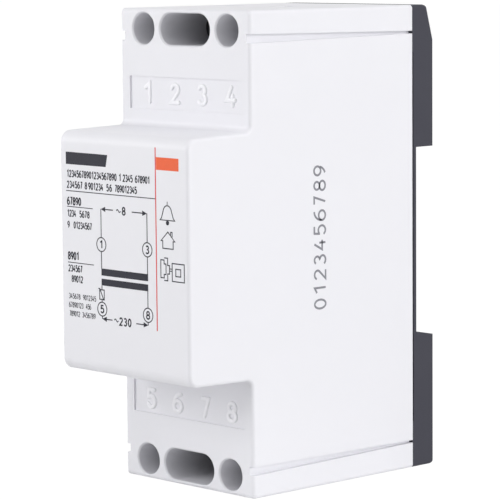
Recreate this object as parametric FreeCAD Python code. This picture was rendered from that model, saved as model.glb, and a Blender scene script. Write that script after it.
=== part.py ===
import FreeCAD, Part
import math
import os

from FreeCAD import Vector

# Bell transformer for a 35 mm rail, two modules wide. Sizes are in millimetres.
# The seat on the rail is the plane Y = 0, the front faces -Y, Z is up and X is across.

# Overall form
WIDTH = 35.4
HEIGHT = 90.0
SHOULDER_DEPTH = 44.0
NOSE_DEPTH = 59.5
NOSE_HEIGHT = 45.0
NOSE_DRAFT = 1.3
WALL = 1.6
JOINT_DEPTH = 1.05
FLOOR_DEPTH = 2.6
FIT = 0.1

# A cut runs this far past the face that it opens, a joined form reaches this far in
PAST = 1.0
BURIED = 0.5

# Rounded edges of the front housing
NOSE_EDGE_RADIUS = 2.2
ROOT_RADIUS = 1.2
SHOULDER_EDGE_RADIUS = 0.8
RIGHT_EDGE_RADIUS = 0.7
LEFT_EDGE_RADIUS = 0.25

# Screwdriver shafts in the shoulders
HOLE_DIAMETER = 6.0
HOLE_FROM_END = 3.8
SHAFT_DEPTH = 11.9
SHAFT_WALL = 0.9
RIM_FLARE = 0.25

# Number fields and side grooves
FIELD_FROM_NOSE = 3.2
FIELD_HEIGHT = 6.15
FIELD_SIDE = 2.2
FIELD_RECESS = 0.3
GROOVE_FROM_END = 5.2
GROOVE_FRONT = 1.7
GROOVE_REAR = 0.5
GROOVE_RECESS = 1.0
GUIDE_RIB = 1.0

# Narrow grooves along both sides of the joint between front and rear
JOINT_GROOVE = 0.3
JOINT_GROOVE_DEPTH = 0.4
JOINT_GROOVE_FROM_END = 9.0

# Rail and feet
RAIL_HEIGHT = 35.0
RAIL_SHEET = 1.0
FOOT_DEPTH = 4.65
UPPER_PLAY = 0.15
LOWER_PLAY = 0.8
LOWER_FALL = 0.9
FOOT_CHAMFER_DEPTH = 1.9
FOOT_CHAMFER_HEIGHT = 6.8
FOOT_RADIUS = 0.9
FOOT_SKIN = 1.4
HOOK_OVERLAP = 2.2
HOOK_WIDTH = 16.0
HOOK_GAP = 0.2
HOOK_EDGE = 0.6
SEAT_RELIEF = 0.3

# Sliding latch and its spring
LATCH_WIDTH = 12.0
LATCH_TONGUE = 1.0
LATCH_TONGUE_DEPTH = 1.2
LATCH_TRAVEL = 3.0
LATCH_TAIL = 0.6
LATCH_STOP = 1.7
LATCH_INSET = 0.35
LIP_EDGE = 0.4
LIP_LAND = 0.5
PULL_SLOT_WIDTH = 5.2
PULL_SLOT_HEIGHT = 2.4
PULL_SLOT_EDGE = 1.4
SPRING_DIAMETER = 4.0
SPRING_WIRE = 0.5
SPRING_TURNS = 6.0
SPRING_STROKES = 2.5
SPRING_FROM_END = 9.0
SPRING_ROOM = 0.2

# Terminals
CAGE_WIDTH = 5.4
CAGE_LENGTH = 4.1
CAGE_SHEET = 0.8
CAGE_CORNER = 0.6
CAGE_FRONT = 1.5
CAGE_REAR = 1.0
CLAMP_TRAVEL = 3.2
LEDGE = 1.2
SCREW_DIAMETER = 2.9
THREAD_CLEARANCE = 0.05
HEAD_DIAMETER = 4.2
HEAD_HEIGHT = 1.5
HEAD_ROOM = 0.2
DRIVE_SLOT = 0.8
DRIVE_DEPTH = 0.8
SHORT_SLOT = 2.6
BUSBAR_WIDTH = 3.6
BUSBAR_SHEET = 1.0
BUSBAR_TAIL = 4.6
TAB_WIDTH = 2.2
TAB_LENGTH = 3.6
TAB_HOLE = 1.1
BLOCK_WALL = 2.35
BLOCK_SIDE = 0.65
BLOCK_FLOOR = 1.2
SKIRT_WALL = 1.4
MOUTH_WIDTH = 5.4
MOUTH_HEIGHT = 5.0
THROAT_WIDTH = 3.8
THROAT_HEIGHT = 3.4
MOUTH_RADIUS = 0.8
UPPER_FITTED = (1, 3)
LOWER_FITTED = (5, 8)

# Core, coil former and windings
CORE_SIDE_ROOM = 7.85
YOKE = 8.0
CORE_SEAT = 0.8
SEAT_WIDTH = 2.0
NOSE_RIB = 6.5
NOSE_RIB_SHEET = 1.2
STRAP_SHEET = 0.5
STRAP_FROM_RIB = 2.05
STRAP_TAB = 3.0
STRAP_GAP = 0.4
RIVET_HOLE = 3.4
FORMER_WALL = 0.9
FORMER_FLANGE = 1.0
FORMER_GAP = 0.15
FORMER_SIDE_GAP = 0.5
FORMER_RADIUS = 1.5
COIL_RADIUS = 3.0
COIL_BELOW_FLANGE = 0.7
COIL_CLEARANCE = 0.05
TAPE_SHEET = 0.3
SECONDARY_SHARE = 0.46

# Leads and thermistor
LEAD_DIAMETER = 1.2
LEAD_BEND = 2.0
BEND_SHARE = 0.45
LEAD_ROOM = 0.15
LEAD_INSET = 2.4
THERMISTOR_DIAMETER = 7.0
THERMISTOR_SHEET = 3.2
THERMISTOR_GAP = 0.2
THERMISTOR_LEG = 0.6
THERMISTOR_PITCH = 5.0

# Snap tongues between base and front housing
SNAP_WIDTH = 5.0
SNAP_SHEET = 1.2
SNAP_LENGTH = 6.4
SNAP_BARB = 0.5
SNAP_FROM_END = 14.0

# Values that follow from the sizes above
HALF_W = WIDTH / 2
HALF_H = HEIGHT / 2
INNER_W = HALF_W - WALL
INNER_H = HALF_H - WALL
NOSE_HALF = NOSE_HEIGHT / 2
NOSE_ROOT = NOSE_HALF + (NOSE_DEPTH - SHOULDER_DEPTH) * math.tan(math.radians(NOSE_DRAFT))
RAIL_HALF = RAIL_HEIGHT / 2
UPPER_FOOT_EDGE = RAIL_HALF + UPPER_PLAY
LOWER_FOOT_EDGE = -RAIL_HALF - LOWER_PLAY
HOOK_FRONT = RAIL_SHEET + HOOK_GAP

HOLE_RADIUS = HOLE_DIAMETER / 2
HOLE_Z = HALF_H - HOLE_FROM_END
SHAFT_END = -SHOULDER_DEPTH + SHAFT_DEPTH
BLOCK_HALF = INNER_W - GUIDE_RIB - FIT
BLOCK_FRONT = SHAFT_END + HEAD_ROOM
BLOCK_END = INNER_H - FIT
POCKET_HALF = CAGE_WIDTH / 2 + FIT + THREAD_CLEARANCE
PITCH = (2 * BLOCK_HALF - 2 * POCKET_HALF - 2 * BLOCK_SIDE) / 3
CENTRES = [PITCH * (index - 1.5) for index in range(4)]

HEAD_FRONT = BLOCK_FRONT - THREAD_CLEARANCE
HEAD_SEAT = HEAD_FRONT + HEAD_HEIGHT
LEDGE_FRONT = HEAD_SEAT + THREAD_CLEARANCE
LEDGE_REAR = LEDGE_FRONT + LEDGE
CAGE_CLOSED_FRONT = LEDGE_REAR + FIT
CAGE_OPEN_FRONT = CAGE_CLOSED_FRONT + CLAMP_TRAVEL
BUSBAR_FRONT = CAGE_OPEN_FRONT + CAGE_FRONT + 3 * FIT
BUSBAR_REAR = BUSBAR_FRONT + BUSBAR_SHEET
CAGE_OPEN_REAR = BUSBAR_REAR + THREAD_CLEARANCE + CLAMP_TRAVEL
POCKET_REAR = CAGE_OPEN_REAR + CAGE_REAR + 2 * FIT
BLOCK_REAR = POCKET_REAR + BLOCK_FLOOR
CAGE_INNER_Z = HOLE_Z - CAGE_LENGTH / 2
POCKET_INNER_Z = CAGE_INNER_Z - 2 * FIT
BLOCK_INNER_Z = POCKET_INNER_Z - BLOCK_WALL
WIRE_Y = (BUSBAR_REAR + CAGE_OPEN_REAR) / 2
TAB_Z = BLOCK_INNER_Z - BUSBAR_TAIL

CORE_HALF_X = INNER_W - CORE_SIDE_ROOM
CORE_REAR = -FLOOR_DEPTH - CORE_SEAT
CORE_FRONT = -NOSE_DEPTH + WALL + NOSE_RIB
CORE_HALF_Z = NOSE_HALF - WALL - STRAP_SHEET - STRAP_GAP
WINDOW_HALF_Z = CORE_HALF_Z - YOKE
CORE_Y = (CORE_FRONT + CORE_REAR) / 2
LEG_HALF = (CORE_REAR - CORE_FRONT) / 2 - 2 * YOKE
STRAP_HALF_X = CORE_HALF_X - NOSE_RIB_SHEET - STRAP_FROM_RIB

FORMER_HALF_X = INNER_W - FORMER_SIDE_GAP
FORMER_HALF_Y = LEG_HALF + YOKE - FORMER_GAP
FORMER_HALF_Z = WINDOW_HALF_Z - FORMER_GAP
TUBE_HALF_X = CORE_HALF_X + FORMER_GAP + FORMER_WALL
TUBE_HALF_Y = LEG_HALF + FORMER_GAP + FORMER_WALL
COIL_HALF_X = FORMER_HALF_X - COIL_BELOW_FLANGE
COIL_HALF_Y = FORMER_HALF_Y - COIL_BELOW_FLANGE
CHAMBER_TOP = FORMER_HALF_Z - FORMER_FLANGE
DIVIDER_Z = CHAMBER_TOP - SECONDARY_SHARE * (2 * CHAMBER_TOP - FORMER_FLANGE)
COIL_END = CHAMBER_TOP - COIL_CLEARANCE

LEAD_RADIUS = LEAD_DIAMETER / 2
LEAD_X = COIL_HALF_X - LEAD_INSET
LEAD_FROM_BUSBAR = LEAD_RADIUS + COIL_CLEARANCE
LEAD_Y = BUSBAR_REAR + LEAD_FROM_BUSBAR
THERMISTOR_X = -(CORE_HALF_X + THERMISTOR_GAP + THERMISTOR_SHEET / 2)
THERMISTOR_Z = -(FORMER_HALF_Z + THERMISTOR_DIAMETER / 2 + 2 * LEAD_DIAMETER)
THERMISTOR_LEAD_Z = THERMISTOR_Z - THERMISTOR_DIAMETER / 2 - LEAD_BEND
BUSBAR_LEG_Y = CORE_Y + math.copysign(THERMISTOR_PITCH / 2, LEAD_Y - CORE_Y)
COIL_LEG_Y = 2 * CORE_Y - BUSBAR_LEG_Y

SPRING_BOTTOM = -HALF_H + SPRING_FROM_END
SPRING_LENGTH = SPRING_TURNS * SPRING_WIRE + SPRING_STROKES * LATCH_TRAVEL
SPRING_TOP = SPRING_BOTTOM + SPRING_LENGTH
LATCH_FRONT = HOOK_FRONT
LATCH_BACK = FOOT_DEPTH - LATCH_INSET
CHANNEL_FLOOR = LATCH_FRONT - FIT
SPRING_Y = (LATCH_FRONT + CHANNEL_FLOOR) / 2
SNAP_Z = HALF_H - SNAP_FROM_END


def block(x0, x1, y0, y1, z0, z1):
    """Return a box between two opposite corners."""
    return Part.makeBox(x1 - x0, y1 - y0, z1 - z0, Vector(x0, y0, z0))


def prism(points, half_width):
    """Return a profile of (y, z) points carried across the width."""
    corners = [Vector(-half_width, y, z) for y, z in points]
    outline = Part.makePolygon(corners + corners[:1])
    return Part.Face(outline).extrude(Vector(2 * half_width, 0, 0))


def rod(radius, start, end):
    """Return a round rod between two points."""
    run = end - start
    return Part.makeCylinder(radius, run.Length, start, run)


def round_edges(shape, radius, chosen):
    """Round every edge for which the test is true."""
    edges = [edge for edge in shape.Edges if chosen(edge)]
    return shape.makeFillet(radius, edges)


def straight_along(edge, axis):
    """Tell whether an edge is a straight line parallel to an axis."""
    if edge.Curve.TypeId != "Part::GeomLine":
        return False
    return abs(abs(edge.Curve.Direction.dot(axis)) - 1) < 1e-6


def middle(edge):
    """Return the middle point of an edge's box."""
    return edge.BoundBox.Center


def close(value, target):
    """Tell whether two lengths are equal to a hundredth."""
    return abs(value - target) < 0.01


def rounded_frame(half_x, y0, y1, z0, z1, radius):
    """Return a slab with its four edges along Z rounded."""
    slab = block(-half_x, half_x, y0, y1, z0, z1)
    return round_edges(slab, radius, lambda edge: straight_along(edge, Vector(0, 0, 1)))


def mirrored(shape):
    """Return the shape turned over to the lower end."""
    return shape.mirror(Vector(0, 0, 0), Vector(0, 0, 1))


def rounded_path(points, bend):
    """Join straight runs with tangent arcs and return the wire."""
    pieces = []
    start = points[0]
    for before, corner, after in zip(points, points[1:], points[2:]):
        inward = (corner - before).normalize()
        outward = (after - corner).normalize()
        half_turn = inward.getAngle(outward) / 2
        room = BEND_SHARE * min((corner - before).Length, (after - corner).Length)
        reach = min(bend * math.tan(half_turn), room)
        radius = reach / math.tan(half_turn)
        first = corner - inward * reach
        last = corner + outward * reach
        toward = (outward - inward).normalize()
        peak = corner + toward * (radius / math.cos(half_turn) - radius)
        pieces.append(Part.LineSegment(start, first).toShape())
        pieces.append(Part.Arc(first, peak, last).toShape())
        start = last
    pieces.append(Part.LineSegment(start, points[-1]).toShape())
    return Part.Wire(pieces)


def wire_tube(points, radius, bend):
    """Return a round wire along a route of straight runs and arcs."""
    path = rounded_path(points, bend)
    ring = Part.Wire(Part.makeCircle(radius, points[0], points[1] - points[0]))
    return path.makePipeShell([ring], True, True)


def shaft_groups():
    """Return the hole groups as (first centre, last centre)."""
    return [(CENTRES[0], CENTRES[0]), (CENTRES[1], CENTRES[2]), (CENTRES[3], CENTRES[3])]


def shaft_post(first, last, radius, y0, y1):
    """Return a round or oblong post along Y at the upper end."""
    post = rod(radius, Vector(first, y0, HOLE_Z), Vector(first, y1, HOLE_Z))
    if last > first:
        post = post.fuse(rod(radius, Vector(last, y0, HOLE_Z), Vector(last, y1, HOLE_Z)))
        post = post.fuse(block(first, last, y0, y1, HOLE_Z - radius, HOLE_Z + radius))
    return post


def shaft_rim(first, last):
    """Return the flare that opens the mouth of a shaft at the upper shoulder."""
    front = -SHOULDER_DEPTH - RIM_FLARE
    rear = -SHOULDER_DEPTH + RIM_FLARE
    wide = HOLE_RADIUS + 2 * RIM_FLARE
    along = Vector(0, 1, 0)
    depth = rear - front
    rim = Part.makeCone(wide, HOLE_RADIUS, depth, Vector(first, front, HOLE_Z), along)
    if last > first:
        rim = rim.fuse(Part.makeCone(wide, HOLE_RADIUS, depth, Vector(last, front, HOLE_Z), along))
        profile = [
            (front, HOLE_Z - wide),
            (front, HOLE_Z + wide),
            (rear, HOLE_Z + HOLE_RADIUS),
            (rear, HOLE_Z - HOLE_RADIUS),
        ]
        rim = rim.fuse(prism(profile, (last - first) / 2))
    return rim


def both_ends(shape):
    """Return the shape together with its copy at the lower end."""
    return shape.fuse(mirrored(shape))


def rounded_rectangle(x, y, z, width, height, radius):
    """Return a rounded rectangle in a plane across Z, as a wire."""
    slab = block(x - width / 2, x + width / 2, y - height / 2, y + height / 2, z, z + PAST)
    slab = round_edges(slab, radius, lambda edge: straight_along(edge, Vector(0, 0, 1)))
    faces = [face for face in slab.Faces if close(face.BoundBox.ZMax, z)]
    return faces[0].OuterWire


def wire_mouth(x):
    """Return the funnel that leads a conductor through the upper end wall."""
    throat_radius = MOUTH_RADIUS * THROAT_HEIGHT / MOUTH_HEIGHT
    outer = rounded_rectangle(x, WIRE_Y, HALF_H, MOUTH_WIDTH, MOUTH_HEIGHT, MOUTH_RADIUS)
    inner = rounded_rectangle(x, WIRE_Y, INNER_H, THROAT_WIDTH, THROAT_HEIGHT, throat_radius)
    return Part.makeLoft([inner, outer], True, True)


def housing_shell():
    """Return the outer form of the front housing, solid."""
    profile = [
        (-JOINT_DEPTH, -HALF_H),
        (-SHOULDER_DEPTH, -HALF_H),
        (-SHOULDER_DEPTH, -NOSE_ROOT),
        (-NOSE_DEPTH, -NOSE_HALF),
        (-NOSE_DEPTH, NOSE_HALF),
        (-SHOULDER_DEPTH, NOSE_ROOT),
        (-SHOULDER_DEPTH, HALF_H),
        (-JOINT_DEPTH, HALF_H),
    ]
    across = Vector(1, 0, 0)

    def nose_edge(edge):
        return straight_along(edge, across) and close(middle(edge).y, -NOSE_DEPTH)

    def root_edge(edge):
        return straight_along(edge, across) and close(abs(middle(edge).z), NOSE_ROOT)

    def shoulder_edge(edge):
        at_front = close(middle(edge).y, -SHOULDER_DEPTH)
        return straight_along(edge, across) and at_front and close(abs(middle(edge).z), HALF_H)

    def side_edge(edge, x):
        box = edge.BoundBox
        on_side = box.XLength < 0.01 and close(box.XMin, x)
        on_rim = box.YLength < 0.01 and close(box.YMin, -JOINT_DEPTH)
        return on_side and not on_rim

    shell = prism(profile, HALF_W)
    shell = round_edges(shell, NOSE_EDGE_RADIUS, nose_edge)
    shell = round_edges(shell, ROOT_RADIUS, root_edge)
    shell = round_edges(shell, SHOULDER_EDGE_RADIUS, shoulder_edge)
    shell = round_edges(shell, RIGHT_EDGE_RADIUS, lambda edge: side_edge(edge, HALF_W))
    return round_edges(shell, LEFT_EDGE_RADIUS, lambda edge: side_edge(edge, -HALF_W))


def housing_cavity():
    """Return the hollow of the front housing, open at the rear."""
    shoulder = -SHOULDER_DEPTH + WALL
    profile = [
        (PAST, -INNER_H),
        (shoulder, -INNER_H),
        (shoulder, -NOSE_ROOT + WALL),
        (-NOSE_DEPTH + WALL, -NOSE_HALF + WALL),
        (-NOSE_DEPTH + WALL, NOSE_HALF - WALL),
        (shoulder, NOSE_ROOT - WALL),
        (shoulder, INNER_H),
        (PAST, INNER_H),
    ]
    return prism(profile, INNER_W)


def groove_cut():
    """Return the two tapered side grooves of the upper end."""
    centre = HALF_H - GROOVE_FROM_END
    front = -SHOULDER_DEPTH - PAST
    taper = (GROOVE_FRONT - GROOVE_REAR) / (SHOULDER_DEPTH - JOINT_DEPTH)
    front_half = (GROOVE_FRONT + taper * PAST) / 2
    rear_half = GROOVE_REAR / 2
    profile = [
        (front, centre - front_half),
        (front, centre + front_half),
        (-JOINT_DEPTH, centre + rear_half),
        (-JOINT_DEPTH, centre - rear_half),
    ]
    band = prism(profile, HALF_W + PAST)
    inside = HALF_W - GROOVE_RECESS
    low = centre - GROOVE_FRONT
    high = centre + GROOVE_FRONT
    return band.cut(block(-inside, inside, front - PAST, PAST, low, high))


def guide_ribs():
    """Return the ribs behind the upper grooves, which also guide the terminal block."""
    centre = HALF_H - GROOVE_FROM_END
    low = centre - GROOVE_FRONT / 2 - GUIDE_RIB
    high = centre + GROOVE_FRONT / 2 + GUIDE_RIB
    front = -SHOULDER_DEPTH + WALL - BURIED
    rear = -FLOOR_DEPTH - FIT
    outside = INNER_W + BURIED
    inside = INNER_W - GUIDE_RIB
    ribs = block(-outside, outside, front, rear, low, high)
    return ribs.cut(block(-inside, inside, front - PAST, rear + PAST, low, high))


def nose_ribs():
    """Return the ribs inside the nose that hold the front of the core."""
    ribs = []
    for side in (-1, 1):
        outer = side * CORE_HALF_X
        inner = side * (CORE_HALF_X - NOSE_RIB_SHEET)
        low, high = sorted((inner, outer))
        reach = CORE_HALF_Z - YOKE / 2
        ribs.append(block(low, high, -NOSE_DEPTH + WALL / 2, CORE_FRONT - FIT, -reach, reach))
    return ribs


def snap_pockets():
    """Return the blind pockets that take the barbs of the snap tongues."""
    pockets = []
    half = SNAP_WIDTH / 2 + 3 * FIT
    tip = -FLOOR_DEPTH - SNAP_LENGTH
    for side in (-1, 1):
        for end in (-1, 1):
            low, high = sorted((side * (INNER_W - FIT), side * (INNER_W + SNAP_BARB + FIT)))
            z = end * SNAP_Z
            pockets.append(block(low, high, tip - FIT, tip + 4 * SNAP_BARB, z - half, z + half))
    return pockets


def number_field():
    """Return the shallow recess for the upper row of numbers."""
    low = NOSE_ROOT + FIELD_FROM_NOSE
    half = HALF_W - FIELD_SIDE
    front = -SHOULDER_DEPTH
    return block(-half, half, front - PAST, front + FIELD_RECESS, low, low + FIELD_HEIGHT)


def front_housing():
    """Build the one-piece front moulding with its nose, shafts and funnels."""
    shell = housing_shell()
    hood = shell.cut(housing_cavity())
    posts = []
    bores = []
    front = -SHOULDER_DEPTH
    for first, last in shaft_groups():
        posts.append(shaft_post(first, last, HOLE_RADIUS + SHAFT_WALL, front, SHAFT_END))
        bores.append(shaft_post(first, last, HOLE_RADIUS, front - PAST, SHAFT_END + PAST))
        bores.append(shaft_rim(first, last))
    posts.append(guide_ribs())
    added = [both_ends(post).common(shell) for post in posts] + nose_ribs()
    hood = hood.fuse(added)
    cuts = [both_ends(bore) for bore in bores]
    cuts.append(both_ends(groove_cut()))
    cuts.append(both_ends(number_field()))
    cuts.extend(wire_mouth(CENTRES[number - 1]) for number in UPPER_FITTED)
    cuts.extend(mirrored(wire_mouth(CENTRES[number - 5])) for number in LOWER_FITTED)
    cuts.extend(snap_pockets())
    hood = hood.cut(cuts)
    return hood.removeSplitter()


def upper_foot():
    """Return the upper block behind the rail plane, with its slanted back."""
    profile = [
        (-BURIED, UPPER_FOOT_EDGE),
        (FOOT_DEPTH, UPPER_FOOT_EDGE),
        (FOOT_DEPTH, HALF_H - FOOT_CHAMFER_HEIGHT),
        (FOOT_DEPTH - FOOT_CHAMFER_DEPTH, HALF_H),
        (-BURIED, HALF_H),
    ]
    foot = prism(profile, HALF_W)
    top = FOOT_DEPTH - FOOT_CHAMFER_DEPTH
    across = Vector(1, 0, 0)
    return round_edges(
        foot, FOOT_RADIUS, lambda edge: straight_along(edge, across) and close(middle(edge).y, top)
    )


def lower_foot():
    """Return the lower block behind the rail plane."""
    profile = [
        (-BURIED, LOWER_FOOT_EDGE),
        (0, LOWER_FOOT_EDGE),
        (FOOT_DEPTH, LOWER_FOOT_EDGE - LOWER_FALL),
        (FOOT_DEPTH, -HALF_H),
        (-BURIED, -HALF_H),
    ]
    foot = prism(profile, HALF_W)

    def back_edge(edge):
        at_back = close(middle(edge).y, FOOT_DEPTH) and close(middle(edge).z, -HALF_H)
        return straight_along(edge, Vector(1, 0, 0)) and at_back

    return round_edges(foot, FOOT_RADIUS, back_edge)


def fixed_hook():
    """Return the lip that reaches behind the upper flange of the rail."""
    tip = RAIL_HALF - HOOK_OVERLAP
    profile = [
        (HOOK_FRONT, UPPER_FOOT_EDGE + BURIED),
        (HOOK_FRONT, tip + HOOK_EDGE),
        (HOOK_FRONT + HOOK_EDGE, tip),
        (FOOT_DEPTH - HOOK_EDGE, tip),
        (FOOT_DEPTH, tip + HOOK_EDGE),
        (FOOT_DEPTH, UPPER_FOOT_EDGE + BURIED),
    ]
    return prism(profile, HOOK_WIDTH / 2)


def latch_channel():
    """Return the undercut channel of the latch with the lower half of the spring's pocket."""
    slot_half = LATCH_WIDTH / 2 + FIT
    tongue_half = slot_half + LATCH_TONGUE
    tongue_back = LATCH_FRONT + LATCH_TONGUE_DEPTH + FIT
    stop = LOWER_FOOT_EDGE - LATCH_STOP + FIT
    low = -HALF_H - PAST
    slot = block(-slot_half, slot_half, CHANNEL_FLOOR, FOOT_DEPTH + PAST, low, 0)
    grooves = block(-tongue_half, tongue_half, CHANNEL_FLOOR, tongue_back, low, stop)
    half = SPRING_DIAMETER / 2 + SPRING_ROOM
    front = SPRING_Y - half
    pocket = block(-half, half, front, LATCH_FRONT, SPRING_BOTTOM, SPRING_TOP + SPRING_ROOM)
    return [slot, grooves, pocket]


def coring():
    """Return the hollows that lighten both feet from the inside."""
    half = BLOCK_HALF - FORMER_WALL
    front = -FLOOR_DEPTH - PAST
    back = FOOT_DEPTH - FOOT_SKIN
    top = BLOCK_INNER_Z - FIT
    low = UPPER_FOOT_EDGE + HOOK_OVERLAP
    beside = LATCH_WIDTH / 2 + LATCH_TONGUE + FOOT_SKIN
    hollows = []
    for side in (-1, 1):
        inner, outer = sorted((side * FOOT_SKIN / 2, side * half))
        hollows.append(block(inner, outer, front, back, low, top))
        inner, outer = sorted((side * beside, side * half))
        hollows.append(block(inner, outer, front, back, -top, LOWER_FOOT_EDGE - HOOK_OVERLAP))
    return hollows


def snap_tongues():
    """Return the four barbed tongues that hold the front housing."""
    tongues = []
    outer = INNER_W - FIT
    tip = -FLOOR_DEPTH - SNAP_LENGTH
    for side in (-1, 1):
        profile = [
            (outer - SNAP_SHEET, -FLOOR_DEPTH + BURIED),
            (outer, -FLOOR_DEPTH + BURIED),
            (outer, tip + 3 * SNAP_BARB),
            (outer + SNAP_BARB, tip + 2 * SNAP_BARB),
            (outer, tip),
            (outer - SNAP_SHEET, tip),
        ]
        for end in (-1, 1):
            corners = [Vector(side * x, y, end * SNAP_Z - SNAP_WIDTH / 2) for x, y in profile]
            outline = Part.makePolygon(corners + corners[:1])
            tongues.append(Part.Face(outline).extrude(Vector(0, 0, SNAP_WIDTH)))
    return tongues


def joint_grooves():
    """Return the grooves along both sides of the joint."""
    reach = HALF_H - JOINT_GROOVE_FROM_END
    front = -JOINT_DEPTH - PAST
    rear = -JOINT_DEPTH + JOINT_GROOVE
    inner = HALF_W - JOINT_GROOVE_DEPTH
    outer = HALF_W + PAST
    right = block(inner, outer, front, rear, -reach, reach)
    left = block(-outer, -inner, front, rear, -reach, reach)
    return [right, left]


def seat_reliefs():
    """Return the shallow reliefs of the rail seat under the hook and under the latch lip."""
    tip = RAIL_HALF - HOOK_OVERLAP - FIT
    hook_half = HOOK_WIDTH / 2 + FIT
    latch_half = LATCH_WIDTH / 2 + FIT
    upper = block(-hook_half, hook_half, -SEAT_RELIEF, PAST, tip, UPPER_FOOT_EDGE)
    lower = block(-latch_half, latch_half, -SEAT_RELIEF, PAST, LOWER_FOOT_EDGE, -tip)
    return [upper, lower]


def core_seats():
    """Return the two low ribs that carry the rear of the core."""
    seats = []
    rear = -FLOOR_DEPTH + BURIED
    for middle_z in (-WINDOW_HALF_Z, WINDOW_HALF_Z):
        low = middle_z - SEAT_WIDTH / 2
        high = middle_z + SEAT_WIDTH / 2
        seats.append(block(-CORE_HALF_X, CORE_HALF_X, CORE_REAR, rear, low, high))
    return seats


def rear_base():
    """Build the one-piece rear moulding with its feet, hook and latch channel."""
    plate = rounded_slab(0)
    plug_x = INNER_W - FIT
    plug_z = INNER_H - FIT
    plug = block(-plug_x, plug_x, -FLOOR_DEPTH, -JOINT_DEPTH + BURIED, -plug_z, plug_z)
    limits = rounded_slab(FOOT_DEPTH + PAST)
    feet = [foot.common(limits) for foot in (upper_foot(), lower_foot())]
    base = plate.fuse([plug, fixed_hook()] + feet)
    base = base.cut(latch_channel() + coring() + joint_grooves() + seat_reliefs())
    base = base.fuse(snap_tongues() + core_seats())
    return base.removeSplitter()


def rounded_slab(rear):
    """Return a slab of the full outline behind the joint, with its four corners rounded."""
    slab = block(-HALF_W, HALF_W, -JOINT_DEPTH, rear, -HALF_H, HALF_H)
    depth = Vector(0, 1, 0)

    def corner(edge, x):
        return straight_along(edge, depth) and close(middle(edge).x, x)

    slab = round_edges(slab, RIGHT_EDGE_RADIUS, lambda edge: corner(edge, HALF_W))
    return round_edges(slab, LEFT_EDGE_RADIUS, lambda edge: corner(edge, -HALF_W))


def rail_latch():
    """Build the sliding latch at rest, with its lip behind the rail's lower flange."""
    tip = -RAIL_HALF + HOOK_OVERLAP
    tail = -HALF_H + LATCH_TAIL
    profile = [
        (LATCH_FRONT, tail),
        (LATCH_FRONT, tip - LIP_EDGE),
        (LATCH_FRONT + LIP_EDGE, tip),
        (LATCH_FRONT + LIP_EDGE + LIP_LAND, tip),
        (LATCH_BACK, tip - HOOK_OVERLAP - LIP_LAND),
        (LATCH_BACK, tail),
    ]
    latch = prism(profile, LATCH_WIDTH / 2)
    tongue_half = LATCH_WIDTH / 2 + LATCH_TONGUE
    tongue_back = LATCH_FRONT + LATCH_TONGUE_DEPTH
    stop = LOWER_FOOT_EDGE - LATCH_STOP
    latch = latch.fuse(block(-tongue_half, tongue_half, LATCH_FRONT, tongue_back, tail, stop))
    half = SPRING_DIAMETER / 2 + SPRING_ROOM
    recess = block(-half, half, 0, SPRING_Y + half, SPRING_BOTTOM - SPRING_ROOM, SPRING_TOP)
    slot_low = tail + PULL_SLOT_EDGE
    slot_half = PULL_SLOT_WIDTH / 2
    slot_high = slot_low + PULL_SLOT_HEIGHT
    pull = block(-slot_half, slot_half, 0, FOOT_DEPTH + PAST, slot_low, slot_high)
    return latch.cut([recess, pull]).removeSplitter()


def latch_spring():
    """Build the compression spring between base and latch, ground flat at both ends."""
    radius = (SPRING_DIAMETER - SPRING_WIRE) / 2
    pitch = SPRING_LENGTH / SPRING_TURNS
    slope = math.atan2(pitch, 2 * math.pi * radius)
    heading = Vector(0, math.cos(slope), math.sin(slope))
    path = Part.makeHelix(pitch, SPRING_LENGTH + 2 * pitch, radius)
    ring = Part.Wire(Part.makeCircle(SPRING_WIRE / 2, Vector(radius, 0, 0), heading))
    coil = Part.Wire(path).makePipeShell([ring], True, True)
    coil.translate(Vector(0, SPRING_Y, SPRING_BOTTOM - pitch))
    reach = SPRING_DIAMETER
    y0 = SPRING_Y - reach
    y1 = SPRING_Y + reach
    return coil.common(block(-reach, reach, y0, y1, SPRING_BOTTOM, SPRING_TOP))


def upper_block(numbers, first_number):
    """Build the terminal carrier of the upper end for the fitted positions."""
    body = block(-BLOCK_HALF, BLOCK_HALF, BLOCK_FRONT, BLOCK_REAR, BLOCK_INNER_Z, BLOCK_END)
    inner = BLOCK_REAR - BURIED
    skirt = block(-BLOCK_HALF, BLOCK_HALF, inner, -FLOOR_DEPTH, BLOCK_INNER_Z, BLOCK_END)
    room = BLOCK_HALF - SKIRT_WALL
    inside = BLOCK_INNER_Z + SKIRT_WALL
    skirt = skirt.cut(block(-room, room, BLOCK_REAR, 0, inside, BLOCK_END + PAST))
    cuts = []
    for index, x in enumerate(CENTRES):
        front = Vector(x, BLOCK_FRONT - PAST, HOLE_Z)
        if index + first_number in numbers:
            cuts.extend(terminal_pocket(x, front))
        else:
            cuts.append(rod(HEAD_DIAMETER / 2, front, Vector(x, BLOCK_FRONT + HEAD_ROOM, HOLE_Z)))
    return body.fuse(skirt).cut(cuts).removeSplitter()


def terminal_pocket(x, front):
    """Return the room for one screw, its cage and its busbar."""
    low = x - POCKET_HALF
    high = x + POCKET_HALF
    pocket = block(low, high, LEDGE_REAR, POCKET_REAR, POCKET_INNER_Z, BLOCK_END + PAST)
    head = rod(HEAD_DIAMETER / 2 + HEAD_ROOM, front, Vector(x, LEDGE_FRONT, HOLE_Z))
    shank = rod(SCREW_DIAMETER / 2 + HEAD_ROOM, front, Vector(x, LEDGE_REAR + BURIED, HOLE_Z))
    half = BUSBAR_WIDTH / 2 + THREAD_CLEARANCE
    y0 = BUSBAR_FRONT - THREAD_CLEARANCE
    y1 = BUSBAR_REAR + THREAD_CLEARANCE
    slot = block(x - half, x + half, y0, y1, BLOCK_INNER_Z - PAST, POCKET_INNER_Z + PAST)
    return [pocket, head, shank, slot]


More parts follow.
